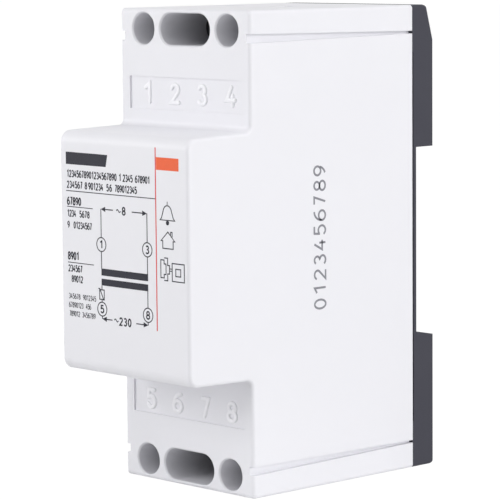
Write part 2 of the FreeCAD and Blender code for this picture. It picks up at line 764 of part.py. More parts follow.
def clamp_cage(x):
    """Build a rising cage at its open end of travel."""
    half = CAGE_WIDTH / 2
    rear = CAGE_OPEN_REAR + CAGE_REAR
    z1 = CAGE_INNER_Z + CAGE_LENGTH
    cage = block(x - half, x + half, CAGE_OPEN_FRONT, rear, CAGE_INNER_Z, z1)
    upright = Vector(0, 0, 1)
    cage = round_edges(cage, CAGE_CORNER, lambda edge: straight_along(edge, upright))
    room = half - CAGE_SHEET
    window = block(
        x - room,
        x + room,
        CAGE_OPEN_FRONT + CAGE_FRONT,
        CAGE_OPEN_REAR,
        CAGE_INNER_Z - PAST,
        z1 + PAST,
    )
    start = Vector(x, CAGE_OPEN_FRONT - PAST, HOLE_Z)
    end = Vector(x, CAGE_OPEN_FRONT + CAGE_FRONT + BURIED, HOLE_Z)
    return cage.cut([window, rod(SCREW_DIAMETER / 2 + THREAD_CLEARANCE, start, end)])


def terminal_screw(x):
    """Build a captive clamping screw with a crossed slot."""
    head = rod(HEAD_DIAMETER / 2, Vector(x, HEAD_FRONT, HOLE_Z), Vector(x, HEAD_SEAT, HOLE_Z))
    rim = [edge for edge in head.Edges if close(middle(edge).y, HEAD_FRONT) and edge.Closed]
    head = head.makeFillet(HEAD_HEIGHT / 4, rim)
    tip = BUSBAR_FRONT - FIT
    start = Vector(x, HEAD_SEAT - BURIED, HOLE_Z)
    shank = rod(SCREW_DIAMETER / 2, start, Vector(x, tip, HOLE_Z))
    end_edge = [edge for edge in shank.Edges if close(middle(edge).y, tip) and edge.Closed]
    shank = shank.makeChamfer(SCREW_DIAMETER / 8, end_edge)
    half = DRIVE_SLOT / 2
    reach = HEAD_DIAMETER / 2
    cross = SHORT_SLOT / 2
    front = HEAD_FRONT - PAST
    floor = HEAD_FRONT + DRIVE_DEPTH
    long_slot = block(x - reach, x + reach, front, floor, HOLE_Z - half, HOLE_Z + half)
    short_slot = block(x - half, x + half, front, floor, HOLE_Z - cross, HOLE_Z + cross)
    return head.fuse(shank).cut([long_slot, short_slot]).removeSplitter()


def busbar(x):
    """Build the flat contact strip with its solder tab."""
    half = BUSBAR_WIDTH / 2
    tip = BLOCK_END - FIT
    tongue = block(x - half, x + half, BUSBAR_FRONT, BUSBAR_REAR, TAB_Z, tip)
    half = TAB_WIDTH / 2
    low = TAB_Z - TAB_LENGTH
    tab = block(x - half, x + half, BUSBAR_FRONT, BUSBAR_REAR, low, TAB_Z + BURIED)
    start = Vector(x, BUSBAR_FRONT - PAST, low + TAB_HOLE)
    hole = rod(TAB_HOLE / 2, start, Vector(x, BUSBAR_REAR + PAST, low + TAB_HOLE))
    return tongue.fuse(tab).cut(hole).removeSplitter()


def rivet_holes(z):
    """Return the two lamination holes at one height."""
    holes = []
    for y in (CORE_FRONT + YOKE / 2, CORE_REAR - YOKE / 2):
        start = Vector(-CORE_HALF_X - PAST, y, z)
        holes.append(rod(RIVET_HOLE / 2, start, Vector(CORE_HALF_X + PAST, y, z)))
    return holes


def core_e_stack():
    """Build the stack of E laminations, with its back at the bottom."""
    half = CORE_HALF_X
    stack = block(-half, half, CORE_FRONT, CORE_REAR, -CORE_HALF_Z, WINDOW_HALF_Z)
    cuts = rivet_holes(-CORE_HALF_Z + YOKE / 2)
    top = WINDOW_HALF_Z + PAST
    for y in (CORE_FRONT + YOKE, CORE_Y + LEG_HALF):
        cuts.append(block(-half, half, y, y + YOKE, -WINDOW_HALF_Z, top))
    return stack.cut(cuts)


def core_i_stack():
    """Build the stack of I laminations that closes the core."""
    stack = block(-CORE_HALF_X, CORE_HALF_X, CORE_FRONT, CORE_REAR, WINDOW_HALF_Z, CORE_HALF_Z)
    return stack.cut(rivet_holes(CORE_HALF_Z - YOKE / 2))


def core_strap():
    """Build the sheet steel strap that holds both stacks together."""
    half = STRAP_HALF_X
    out_z = CORE_HALF_Z + STRAP_SHEET
    front = CORE_FRONT - STRAP_SHEET
    rear = CORE_REAR + STRAP_SHEET
    strap = block(-half, half, front, rear, -out_z, out_z)
    across = Vector(1, 0, 0)
    strap = round_edges(strap, STRAP_SHEET, lambda edge: straight_along(edge, across))
    wide = half + PAST
    inside = block(-wide, wide, CORE_FRONT, CORE_REAR, -CORE_HALF_Z, CORE_HALF_Z)
    gap = CORE_HALF_Z - STRAP_TAB
    opening = block(-wide, wide, CORE_REAR - PAST, rear + PAST, -gap, gap)
    return strap.cut([inside, opening])


def coil_former():
    """Build the two-chamber former around the centre leg."""
    y0 = CORE_Y - TUBE_HALF_Y
    y1 = CORE_Y + TUBE_HALF_Y
    former = rounded_frame(TUBE_HALF_X, y0, y1, -FORMER_HALF_Z, FORMER_HALF_Z, FORMER_WALL)
    y0 = CORE_Y - FORMER_HALF_Y
    y1 = CORE_Y + FORMER_HALF_Y
    flanges = []
    for z in (-FORMER_HALF_Z, DIVIDER_Z - FORMER_FLANGE, CHAMBER_TOP):
        flanges.append(rounded_frame(FORMER_HALF_X, y0, y1, z, z + FORMER_FLANGE, FORMER_RADIUS))
    bore_x = CORE_HALF_X + FORMER_GAP
    bore_y = LEG_HALF + FORMER_GAP
    cuts = [
        block(-bore_x, bore_x, CORE_Y - bore_y, CORE_Y + bore_y, -CORE_HALF_Z, CORE_HALF_Z)
    ]
    for points in lead_routes().values():
        start = points[0]
        side = 1 if start.z > 0 else -1
        end = Vector(start.x, start.y, side * (FORMER_HALF_Z + PAST))
        cuts.append(rod(LEAD_RADIUS + LEAD_ROOM, Vector(start.x, start.y, side * COIL_END), end))
    return former.fuse(flanges).cut(cuts).removeSplitter()


def winding_ring(half_x, half_y, room_x, room_y, z0, z1, radius):
    """Return a rounded ring around the former between two heights."""
    ring = rounded_frame(half_x, CORE_Y - half_y, CORE_Y + half_y, z0, z1, radius)
    inner = max(radius + room_x - half_x, FORMER_WALL)
    y0 = CORE_Y - room_y
    y1 = CORE_Y + room_y
    return ring.cut(rounded_frame(room_x, y0, y1, z0 - PAST, z1 + PAST, inner))


def winding(z0, z1):
    """Build one winding between two flanges."""
    room_x = TUBE_HALF_X + COIL_CLEARANCE
    room_y = TUBE_HALF_Y + COIL_CLEARANCE
    return winding_ring(COIL_HALF_X, COIL_HALF_Y, room_x, room_y, z0, z1, COIL_RADIUS)


def insulation_tape(z0, z1):
    """Build the tape wrapped once around a winding."""
    half_x = COIL_HALF_X + TAPE_SHEET
    half_y = COIL_HALF_Y + TAPE_SHEET
    radius = COIL_RADIUS + TAPE_SHEET
    return winding_ring(half_x, half_y, COIL_HALF_X, COIL_HALF_Y, z0, z1, radius)


def lead_routes():
    """Return the route of each insulated lead that leaves a winding."""
    tab = TAB_Z - TAB_LENGTH / 2
    turn = TAB_Z - TAB_LENGTH - LEAD_BEND
    outer = COIL_HALF_X - LEAD_RADIUS - LEAD_ROOM
    clear = CORE_HALF_Z + STRAP_SHEET + LEAD_BEND
    leg_y = COIL_LEG_Y
    leg_z = THERMISTOR_LEAD_Z
    below = leg_z - 1.5 * LEAD_BEND
    first, third, last = CENTRES[0], CENTRES[2], CENTRES[3]
    return {
        "secondary_lead_1": [
            Vector(-LEAD_X, LEAD_Y, COIL_END),
            Vector(-LEAD_X, LEAD_Y, clear),
            Vector(first, LEAD_Y, turn),
            Vector(first, LEAD_Y, tab),
        ],
        "secondary_lead_3": [
            Vector(LEAD_X, LEAD_Y, COIL_END),
            Vector(LEAD_X, LEAD_Y, clear),
            Vector(third, LEAD_Y, turn + LEAD_BEND),
            Vector(third, LEAD_Y, tab),
        ],
        "primary_lead_8": [
            Vector(LEAD_X, LEAD_Y, -COIL_END),
            Vector(LEAD_X, LEAD_Y, -clear),
            Vector(last, LEAD_Y, -turn),
            Vector(last, LEAD_Y, -tab),
        ],
        "primary_lead_5": [
            Vector(-outer, leg_y, -COIL_END),
            Vector(-outer, leg_y, below),
            Vector(THERMISTOR_X, leg_y, below),
            Vector(THERMISTOR_X, leg_y, leg_z),
        ],
    }


def thermistor_route():
    """Return the route of the lead from the thermistor's nearer leg to that side of its busbar."""
    leg_z = THERMISTOR_LEAD_Z
    x = CENTRES[0]
    y = LEAD_Y
    if BUSBAR_LEG_Y < BUSBAR_FRONT:
        y = BUSBAR_FRONT - LEAD_FROM_BUSBAR
    end = min(TAB_LENGTH / 2 - TAB_Z, leg_z - 3 * LEAD_DIAMETER)
    return [
        Vector(THERMISTOR_X, BUSBAR_LEG_Y, leg_z),
        Vector(THERMISTOR_X, BUSBAR_LEG_Y, leg_z - LEAD_DIAMETER),
        Vector(x, y, end + TAB_LENGTH / 2 + LEAD_DIAMETER),
        Vector(x, y, end),
    ]


def thermistor():
    """Build the coated disc beside the core, with its two legs."""
    half = THERMISTOR_SHEET / 2
    start = Vector(THERMISTOR_X - half, CORE_Y, THERMISTOR_Z)
    disc = rod(THERMISTOR_DIAMETER / 2, start, Vector(THERMISTOR_X + half, CORE_Y, THERMISTOR_Z))
    rims = [edge for edge in disc.Edges if edge.Closed and edge.BoundBox.XLength < 0.01]
    disc = disc.makeFillet(THERMISTOR_SHEET / 4, rims)
    legs = []
    for side in (-1, 1):
        y = CORE_Y + side * THERMISTOR_PITCH / 2
        top = Vector(THERMISTOR_X, y, THERMISTOR_Z)
        legs.append(rod(THERMISTOR_LEG / 2, top, Vector(THERMISTOR_X, y, THERMISTOR_LEAD_Z)))
    return disc.fuse(legs).removeSplitter()


def export(name, shape):
    """Write one sub-part after checking that it is sound."""
    if not shape.isValid() or not shape.Solids:
        raise ValueError(name + " is not a sound solid")
    shape = shape.Solids[0] if len(shape.Solids) == 1 else Part.Compound(shape.Solids)
    shape.exportStep(os.path.join("parts", name + ".step"))
    print(f"{name:22s} faces {len(shape.Faces):4d} cm3 {shape.Volume / 1000:.3f}")


def export_terminals():
    """Write the screw, cage and busbar of each fitted position."""
    for number in UPPER_FITTED + LOWER_FITTED:
        lower = number in LOWER_FITTED
        x = CENTRES[(number - 1) % 4]
        for name, shape in (
            ("terminal_screw", terminal_screw(x)),
            ("clamp_cage", clamp_cage(x)),
            ("busbar", busbar(x)),
        ):
            export(f"{name}_{number}", mirrored(shape) if lower else shape)


def main():
    """Build every sub-part."""
    os.makedirs("parts", exist_ok=True)
    export("front_housing", front_housing())
    export("rear_base", rear_base())
    export("rail_latch", rail_latch())
    export("latch_spring", latch_spring())
    export("upper_terminal_block", upper_block(UPPER_FITTED, 1))
    export("lower_terminal_block", mirrored(upper_block(LOWER_FITTED, 5)))
    export_terminals()
    export("core_e_stack", core_e_stack())
    export("core_i_stack", core_i_stack())
    export("core_strap", core_strap())
    export("coil_former", coil_former())
    divider_low = DIVIDER_Z - FORMER_FLANGE
    export("secondary_winding", winding(DIVIDER_Z + COIL_CLEARANCE, COIL_END))
    export("primary_winding", winding(-COIL_END, divider_low - COIL_CLEARANCE))
    export("secondary_tape", insulation_tape(DIVIDER_Z + COIL_CLEARANCE, COIL_END))
    export("primary_tape", insulation_tape(-COIL_END, divider_low - COIL_CLEARANCE))
    for name, points in lead_routes().items():
        export(name, wire_tube(points, LEAD_RADIUS, LEAD_BEND))
    export("thermistor_lead", wire_tube(thermistor_route(), LEAD_RADIUS, LEAD_BEND))
    export("thermistor", thermistor())


main()
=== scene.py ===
"""Doorbell transformer for a 35 mm rail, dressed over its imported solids.

Everything is in metres in the frame of the solids: X across, the front faces -Y,
Z up, and the seat on the rail in the plane Y = 0. Fields of length are in
millimetres, unless they belong to a finish.
"""

import logging
import math
from abc import ABC, abstractmethod
from dataclasses import dataclass
from enum import Enum

import bpy
import numpy as np
from mathutils import Matrix, Vector


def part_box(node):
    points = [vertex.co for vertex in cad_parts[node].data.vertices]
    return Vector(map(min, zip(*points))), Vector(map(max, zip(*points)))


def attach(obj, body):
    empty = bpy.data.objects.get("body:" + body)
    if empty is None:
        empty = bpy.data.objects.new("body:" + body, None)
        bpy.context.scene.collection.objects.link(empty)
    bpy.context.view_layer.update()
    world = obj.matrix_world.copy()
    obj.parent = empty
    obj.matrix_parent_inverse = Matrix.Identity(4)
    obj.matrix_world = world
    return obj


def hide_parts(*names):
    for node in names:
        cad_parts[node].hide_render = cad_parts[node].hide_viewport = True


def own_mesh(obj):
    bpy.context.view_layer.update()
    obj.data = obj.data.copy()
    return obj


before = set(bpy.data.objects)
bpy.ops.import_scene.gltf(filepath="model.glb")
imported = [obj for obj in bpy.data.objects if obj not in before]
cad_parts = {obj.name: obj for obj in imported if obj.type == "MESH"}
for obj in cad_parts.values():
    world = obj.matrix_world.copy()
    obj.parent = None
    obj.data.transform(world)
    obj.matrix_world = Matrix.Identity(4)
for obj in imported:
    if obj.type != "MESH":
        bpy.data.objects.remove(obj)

log = logging.getLogger("transformer")

MM = 0.001
FILM = 0.02
NOSE_FRONT = -59.5
RIGHT_SIDE = 17.7
FITTED = (1, 3, 5, 8)
MERGE = 1e-7
NODE_STEP = 230
ARC_STEP = 12.0
RING_POINTS = 32
MITRE_LIMIT = 0.45
END_TURNS = (20.0, 40.0, 60.0, 80.0)
# Point attribute that masks the painted shade inside the screwdriver shafts.
PAINTED_SHADE_DEPTH = "painted_shade_depth"

Node = bpy.types.Node
Piece = bpy.types.Object
Socket = bpy.types.NodeSocket
Tree = bpy.types.NodeTree
Colour = tuple[float, float, float]
Point = tuple[float, float]

NUMBER = "NodeSocketFloat"
VECTOR = "NodeSocketVector"
COLOUR = "NodeSocketColor"
HOUSING_TONE = (0.83, 0.828, 0.866)
# Colour of the painted shade deep in the screwdriver shafts.
SHAFT_PAINTED_SHADE = (0.02, 0.02, 0.022, 1.0)


# Shader nodes


class Wiring:
    """The nodes of one tree, laid out in the order in which they are added."""

    def __init__(self, tree: Tree) -> None:
        """Empty the tree of a material, a world or a group, and start on it."""
        self.tree = tree
        tree.nodes.clear()

    def feed(self, node: Node, feeds: dict) -> None:
        """Join the inputs of a node to other sockets, or set their values.

        Args:
            node: the node to feed.
            feeds: input name or number against an output socket or a value.
        """
        for name, value in feeds.items():
            if isinstance(value, Socket):
                self.tree.links.new(value, node.inputs[name])
            else:
                node.inputs[name].default_value = value

    def add(self, kind: str, feeds: dict | None = None, **settings: object) -> Node:
        """Add a node.

        Args:
            kind: Blender's name of the node type.
            feeds: input name or number against an output socket or a value.
            **settings: plain properties of the node.

        Returns:
            The new node.
        """
        node = self.tree.nodes.new(kind)
        node.location = (NODE_STEP * len(self.tree.nodes), 0)
        for name, value in settings.items():
            setattr(node, name, value)
        self.feed(node, feeds or {})
        return node

    def sum_up(self, operation: str, *values: object, clamp: bool = False) -> Socket:
        """Add one math node.

        Args:
            operation: Blender's name of the operation.
            *values: numbers or sockets, in order.
            clamp: whether the result is held within 0 and 1.

        Returns:
            Its output socket.
        """
        feeds = dict(enumerate(values))
        return self.add("ShaderNodeMath", feeds, operation=operation, use_clamp=clamp).outputs[0]

    def spread(
        self,
        value: Socket,
        low: float,
        high: float,
        start: object = 0.0,
        end: float = 1.0,
        way: str = "LINEAR",
    ) -> Socket:
        """Map a value of start to end onto low to high.

        Args:
            value: the socket to map.
            low: the result at the start.
            high: the result at the end.
            start: the value that gives low, a number or a socket.
            end: the value that gives high.
            way: Blender's name of the curve between them.

        Returns:
            The mapped socket.
        """
        feeds = {"Value": value, "From Min": start, "From Max": end, "To Min": low, "To Max": high}
        return self.add("ShaderNodeMapRange", feeds, interpolation_type=way).outputs["Result"]

    def noise(
        self, place: Socket, scale: object, detail: float = 2.0, roughness: float = 0.5
    ) -> Socket:
        """Add a noise.

        Args:
            place: the point at which it is taken.
            scale: its patches on a metre.
            detail: the number of finer layers.
            roughness: how strong they are.

        Returns:
            Its value.
        """
        feeds = {"Vector": place, "Scale": scale, "Detail": detail, "Roughness": roughness}
        return self.add("ShaderNodeTexNoise", feeds).outputs[0]

    def scaled(self, vector: Socket, by: Socket, operation: str = "MULTIPLY") -> Socket:
        """Return a colour or vector multiplied or divided by another value."""
        return self.add("ShaderNodeVectorMath", {0: vector, 1: by}, operation=operation).outputs[0]

    def mixed(self, factor: Socket, low: object, high: object) -> Socket:
        """Return the mix of two colours by a factor."""
        feeds = {"Factor": factor, 6: low, 7: high}
        return self.add("ShaderNodeMix", feeds, data_type="RGBA").outputs[2]


class Effects:
    """The shader groups that several finishes share, each built once."""

    def __init__(self) -> None:
        """Build the four groups."""
        self.grain = self._grain()
        self.drift = self._drift()
        self.layers = self._layers()
        self.rub = self._rub()

    @staticmethod
    def _begin(name: str, inputs: dict[str, tuple[str, object]], outputs: dict[str, str]) -> tuple:
        """Begin a group with named sockets.

        Args:
            name: the group's name.
            inputs: socket name against its type and default value.
            outputs: socket name against its type.

        Returns:
            The group's wiring, its inputs' sockets and its output node.
        """
        group = bpy.data.node_groups.new(name, "ShaderNodeTree")
        for label, (kind, value) in inputs.items():
            socket = group.interface.new_socket(name=label, in_out="INPUT", socket_type=kind)
            if value is not None:
                socket.default_value = value
        for label, kind in outputs.items():
            group.interface.new_socket(name=label, in_out="OUTPUT", socket_type=kind)
        wiring = Wiring(group)
        entry = wiring.add("NodeGroupInput").outputs
        return wiring, entry, wiring.add("NodeGroupOutput")

    def _grain(self) -> Tree:
        """Build the fine pebbled skin of a spark-eroded mould: noise plus soft cells.

        Returns:
            The group.
        """
        inputs = {"Place": (VECTOR, None), "Grains per metre": (NUMBER, 5000.0)}
        wiring, entry, leave = self._begin("mould_grain", inputs, {"Height": NUMBER})
        place, scale = entry["Place"], entry["Grains per metre"]
        noise = wiring.noise(place, scale, roughness=0.55)
        coarse = wiring.sum_up("MULTIPLY", scale, 0.55)
        cells = wiring.add("ShaderNodeTexVoronoi", {"Vector": place, "Scale": coarse})
        height = wiring.sum_up("MULTIPLY_ADD", cells.outputs["Distance"], 0.5, noise)
        wiring.feed(leave, {"Height": height})
        return wiring.tree

    def _drift(self) -> Tree:
        """Build the slow change of tone over a surface: colour times 1 +- amount.

        Returns:
            The group.
        """
        inputs = {
            "Place": (VECTOR, None),
            "Colour": (COLOUR, (0.8, 0.8, 0.8, 1.0)),
            "Amount": (NUMBER, 0.02),
            "Patches per metre": (NUMBER, 60.0),
        }
        outputs = {"Colour": COLOUR, "Mask": NUMBER}
        wiring, entry, leave = self._begin("tone_drift", inputs, outputs)
        noise = wiring.noise(entry["Place"], entry["Patches per metre"], 4.0, 0.6)
        swing = wiring.sum_up("MULTIPLY_ADD", noise, 2.0, -1.0)
        factor = wiring.sum_up("MULTIPLY_ADD", swing, entry["Amount"], 1.0)
        wiring.feed(leave, {"Colour": wiring.scaled(entry["Colour"], factor), "Mask": noise})
        return wiring.tree

    def _layers(self) -> Tree:
        """Build stacked or wound layers along one length: rounded backs and dark joints.

        Returns:
            The group.
        """
        inputs = {"Along": (NUMBER, 0.0), "Pitch": (NUMBER, 0.0005), "Joint": (NUMBER, 0.12)}
        outputs = {"Joint": NUMBER, "Back": NUMBER, "Tone": NUMBER}
        wiring, entry, leave = self._begin("layers", inputs, outputs)
        steps = wiring.sum_up("DIVIDE", entry["Along"], entry["Pitch"])
        number = wiring.sum_up("FLOOR", steps)
        share = wiring.sum_up("FRACT", steps)
        edge = wiring.sum_up("ABSOLUTE", wiring.sum_up("MULTIPLY_ADD", share, 2.0, -1.0))
        inner = wiring.sum_up("SUBTRACT", 1.0, entry["Joint"])
        rest = wiring.sum_up("SUBTRACT", 1.0, wiring.sum_up("MULTIPLY", edge, edge))
        tone = wiring.add("ShaderNodeTexWhiteNoise", {"W": number}, noise_dimensions="1D")
        feeds = {
            "Joint": wiring.spread(edge, 0.0, 1.0, start=inner, way="SMOOTHSTEP"),
            "Back": wiring.sum_up("SQRT", wiring.sum_up("MAXIMUM", rest, 0.0)),
            "Tone": tone.outputs["Value"],
        }
        wiring.feed(leave, feeds)
        return wiring.tree

    def _rub(self) -> Tree:
        """Build fine rubbed streaks: noise stretched along one direction.

        Returns:
            The group.
        """
        inputs = {
            "Place": (VECTOR, None),
            "Stretch": (VECTOR, (1.0, 1.0, 12.0)),
            "Streaks per metre": (NUMBER, 900.0),
        }
        wiring, entry, leave = self._begin("rubbed_streaks", inputs, {"Streak": NUMBER})
        drawn = wiring.scaled(entry["Place"], entry["Stretch"], "DIVIDE")
        noise = wiring.noise(drawn, entry["Streaks per metre"], 3.0, 0.7)
        wiring.feed(leave, {"Streak": wiring.spread(noise, 0.0, 1.0, start=0.35, end=0.7)})
        return wiring.tree


# Finishes


class Axis(Enum):
    """The direction in which layers follow each other."""

    ACROSS = 0
    DEPTH = 1
    UP = 2


@dataclass(frozen=True)
class Skin:
    """A material in the making: its colour, wiring, point on the surface and shader."""

    colour: Colour
    effects: Effects
    wiring: Wiring
    place: Socket
    shader: Node

    def group(self, tree: Tree, feeds: dict) -> bpy.types.bpy_prop_collection:
        """Add a shared group and return its outputs."""
        return self.wiring.add("ShaderNodeGroup", feeds, node_tree=tree).outputs

    def toned(self, amount: float, patches: float) -> bpy.types.bpy_prop_collection:
        """Add the tone drift over the colour.

        Args:
            amount: the share by which the colour swings.
            patches: how many patches lie on a metre.

        Returns:
            The outputs Colour and Mask.
        """
        feeds = {"Place": self.place, "Colour": (*self.colour, 1.0)}
        feeds |= {"Amount": amount, "Patches per metre": patches}
        return self.group(self.effects.drift, feeds)

    def rubbed(self, stretch: tuple[float, float, float], streaks: float) -> Socket:
        """Return the rubbed streaks, stretched along the axes, so many to a metre."""
        feeds = {"Place": self.place, "Stretch": stretch, "Streaks per metre": streaks}
        return self.group(self.effects.rub, feeds)["Streak"]

    def layered(self, axis: Axis, pitch: float, joint: float) -> bpy.types.bpy_prop_collection:
        """Add layers.

        Args:
            axis: the direction in which they follow each other.
            pitch: from layer to layer, in metres.
            joint: the share of a layer that its dark joint takes.

        Returns:
            The outputs Joint, Back and Tone.
        """
        parts = self.wiring.add("ShaderNodeSeparateXYZ", {"Vector": self.place}).outputs
        feeds = {"Along": parts[axis.value], "Pitch": pitch, "Joint": joint}
        return self.group(self.effects.layers, feeds)

    def wear(self, colour: Socket, gloss: Socket, **plain: float) -> None:
        """Feed the shader.

        Args:
            colour: the base colour.
            gloss: the roughness.
            **plain: constants, named as their inputs with _ for a space.
        """
        self.wiring.feed(self.shader, {"Base Color": colour, "Roughness": gloss})
        self.wiring.feed(self.shader, {key.replace("_", " "): plain[key] for key in plain})

    def bump(self, height: Socket, depth: float) -> None:
        """Let a height work on the shader's normal.

        Args:
            height: a height of 0 to 1.
            depth: what a height of 1 is, in metres.
        """
        bump = self.wiring.add("ShaderNodeBump", {"Height": height, "Distance": depth})
        bump.inputs["Strength"].default_value = 1.0
        self.wiring.feed(self.shader, {"Normal": bump.outputs["Normal"]})


@dataclass(frozen=True)
class Finish(ABC):
    """What every finish has: a name and a plain colour in linear values."""

    name: str
    colour: Colour

    def build(self, effects: Effects) -> bpy.types.Material:
        """Make the material.

        Args:
            effects: the shared shader groups.

        Returns:
            The finished material.
        """
        material = bpy.data.materials.new(self.name)
        material.use_nodes = True
        material.diffuse_color = (*self.colour, 1.0)
        wiring = Wiring(material.node_tree)
        place = wiring.add("ShaderNodeTexCoord").outputs["Object"]
        shader = wiring.add("ShaderNodeBsdfPrincipled")
        self.dress(Skin(self.colour, effects, wiring, place, shader))
        wiring.add("ShaderNodeOutputMaterial", {"Surface": shader.outputs[0]})
        return material

    @abstractmethod
    def dress(self, skin: Skin) -> None:
        """Feed the shader's sockets.

        Args:
            skin: the material in the making.
        """


@dataclass(frozen=True)
class MouldedPlastic(Finish):
    """Injection-moulded plastic with a fine eroded skin."""

    roughness: float = 0.45
    drift: float = 0.012
    painted_shade: float = 0.0

    def dress(self, skin: Skin) -> None:
        """Tone, gloss that varies a little, and the grain of the mould.

        The tone is darkened by painted shade, standing in for the shade deep in a
        screwdriver shaft: by the full share where a mesh says that a point is fully
        deep in a shaft, and by less above.

        Args:
            skin: the material in the making.
        """
        wiring = skin.wiring
        tone = skin.toned(self.drift, patches=55.0)
        colour = tone["Colour"]
        # Painted shade: the colour is mixed towards a dark tone deep in the shafts.
        if self.painted_shade:
            deep = wiring.add("ShaderNodeAttribute", attribute_name=PAINTED_SHADE_DEPTH).outputs["Fac"]
            colour = wiring.mixed(wiring.sum_up("MULTIPLY", deep, self.painted_shade), colour, SHAFT_PAINTED_SHADE)
        feeds = {"Place": skin.place, "Grains per metre": 4200.0}
        grain = skin.group(skin.effects.grain, feeds)
        gloss = wiring.spread(tone["Mask"], self.roughness - 0.07, self.roughness + 0.07)
        skin.wear(colour, gloss, IOR=1.48)
        skin.bump(grain["Height"], depth=6e-6)


@dataclass(frozen=True)
class PlatedMetal(Finish):
    """Plated or tinned sheet and turned parts, with rolling marks and cloudy plating."""

    roughness: float = 0.3
    stretch: tuple[float, float, float] = (1.0, 14.0, 1.0)

    def dress(self, skin: Skin) -> None:
        """Cloudy colour, streaked gloss and a trace of relief.

        Args:
            skin: the material in the making.
        """
        tone = skin.toned(amount=0.1, patches=420.0)
        streak = skin.rubbed(self.stretch, streaks=5200.0)
        gloss = skin.wiring.spread(streak, self.roughness - 0.08, self.roughness + 0.14)
        skin.wear(tone["Colour"], gloss, Metallic=1.0)
        skin.bump(streak, depth=3e-6)


@dataclass(frozen=True)
class LayeredMetal(Finish):
    """Stacked sheets or wound wire: layers that follow each other along one axis."""

    pitch: float = 0.0005
    axis: Axis = Axis.ACROSS
    joint: float = 0.2
    roughness: float = 0.4
    coat: float = 0.0
    depth: float = 4e-5

    def dress(self, skin: Skin) -> None:
        """A tone of its own for each layer, dark joints between them, round backs.

        Args:
            skin: the material in the making.
        """
        wiring = skin.wiring
        tone = skin.toned(amount=0.12, patches=300.0)
        layers = skin.layered(self.axis, self.pitch, self.joint)
        varied = wiring.scaled(tone["Colour"], wiring.spread(layers["Tone"], 0.82, 1.08))
        colour = wiring.scaled(varied, wiring.spread(layers["Joint"], 1.0, 0.25))
        gloss = wiring.spread(layers["Tone"], self.roughness - 0.05, self.roughness + 0.08)
        skin.wear(colour, gloss, Metallic=1.0, Coat_Weight=self.coat)
        skin.bump(layers["Back"], self.depth)


@dataclass(frozen=True)
class WrappedTape(Finish):
    """Glossy polyester tape, wrapped in turns that overlap."""

    width: float = 0.006

    def dress(self, skin: Skin) -> None:
        """Turns of tape with an edge between them, creases and a clear gloss.

        Args:
            skin: the material in the making.
        """
        wiring = skin.wiring
        tone = skin.toned(amount=0.07, patches=140.0)
        joint = skin.layered(Axis.UP, self.width, joint=0.05)["Joint"]
        streak = skin.rubbed((6.0, 6.0, 1.0), streaks=1400.0)
        colour = wiring.scaled(tone["Colour"], wiring.spread(joint, 1.0, 0.72))
        edge = wiring.sum_up("MULTIPLY", joint, -1.0)
        skin.wear(colour, wiring.spread(streak, 0.2, 0.36), Coat_Weight=0.5)
        skin.bump(wiring.sum_up("MULTIPLY_ADD", streak, 0.3, edge), depth=2e-5)


@dataclass(frozen=True)
class SoftSleeve(Finish):
    """Insulation and dipped resin: a smooth skin with low waves."""

    roughness: float = 0.4
    waves: float = 700.0
    depth: float = 2e-5
    coat: float = 0.2

    def dress(self, skin: Skin) -> None:
        """Tone drift, a gloss that follows it, and low waves.

        Args:
            skin: the material in the making.
        """
        tone = skin.toned(0.1, self.waves)
        gloss = skin.wiring.spread(tone["Mask"], self.roughness - 0.1, self.roughness + 0.1)
        skin.wear(tone["Colour"], gloss, Coat_Weight=self.coat)
        skin.bump(tone["Mask"], self.depth)


@dataclass(frozen=True)
class PadPrint(Finish):
    """Pad-printed ink, a little uneven, with pinholes that let the plastic through."""

    thinnest: float = 0.03

    def dress(self, skin: Skin) -> None:
        """Mix the ink with what is below it where the film is thin.

        Args:
            skin: the material in the making.
        """
        wiring = skin.wiring
        tone = skin.toned(amount=0.08, patches=900.0)
        speck = wiring.noise(skin.place, 6500.0, detail=1.0)
        thin = wiring.spread(speck, 0.0, self.thinnest, start=0.66, end=0.74)
        colour = wiring.mixed(thin, tone["Colour"], (*HOUSING_TONE, 1.0))
        skin.wear(colour, wiring.spread(tone["Mask"], 0.4, 0.6), Specular_IOR_Level=0.22)
        skin.bump(speck, depth=2e-6)


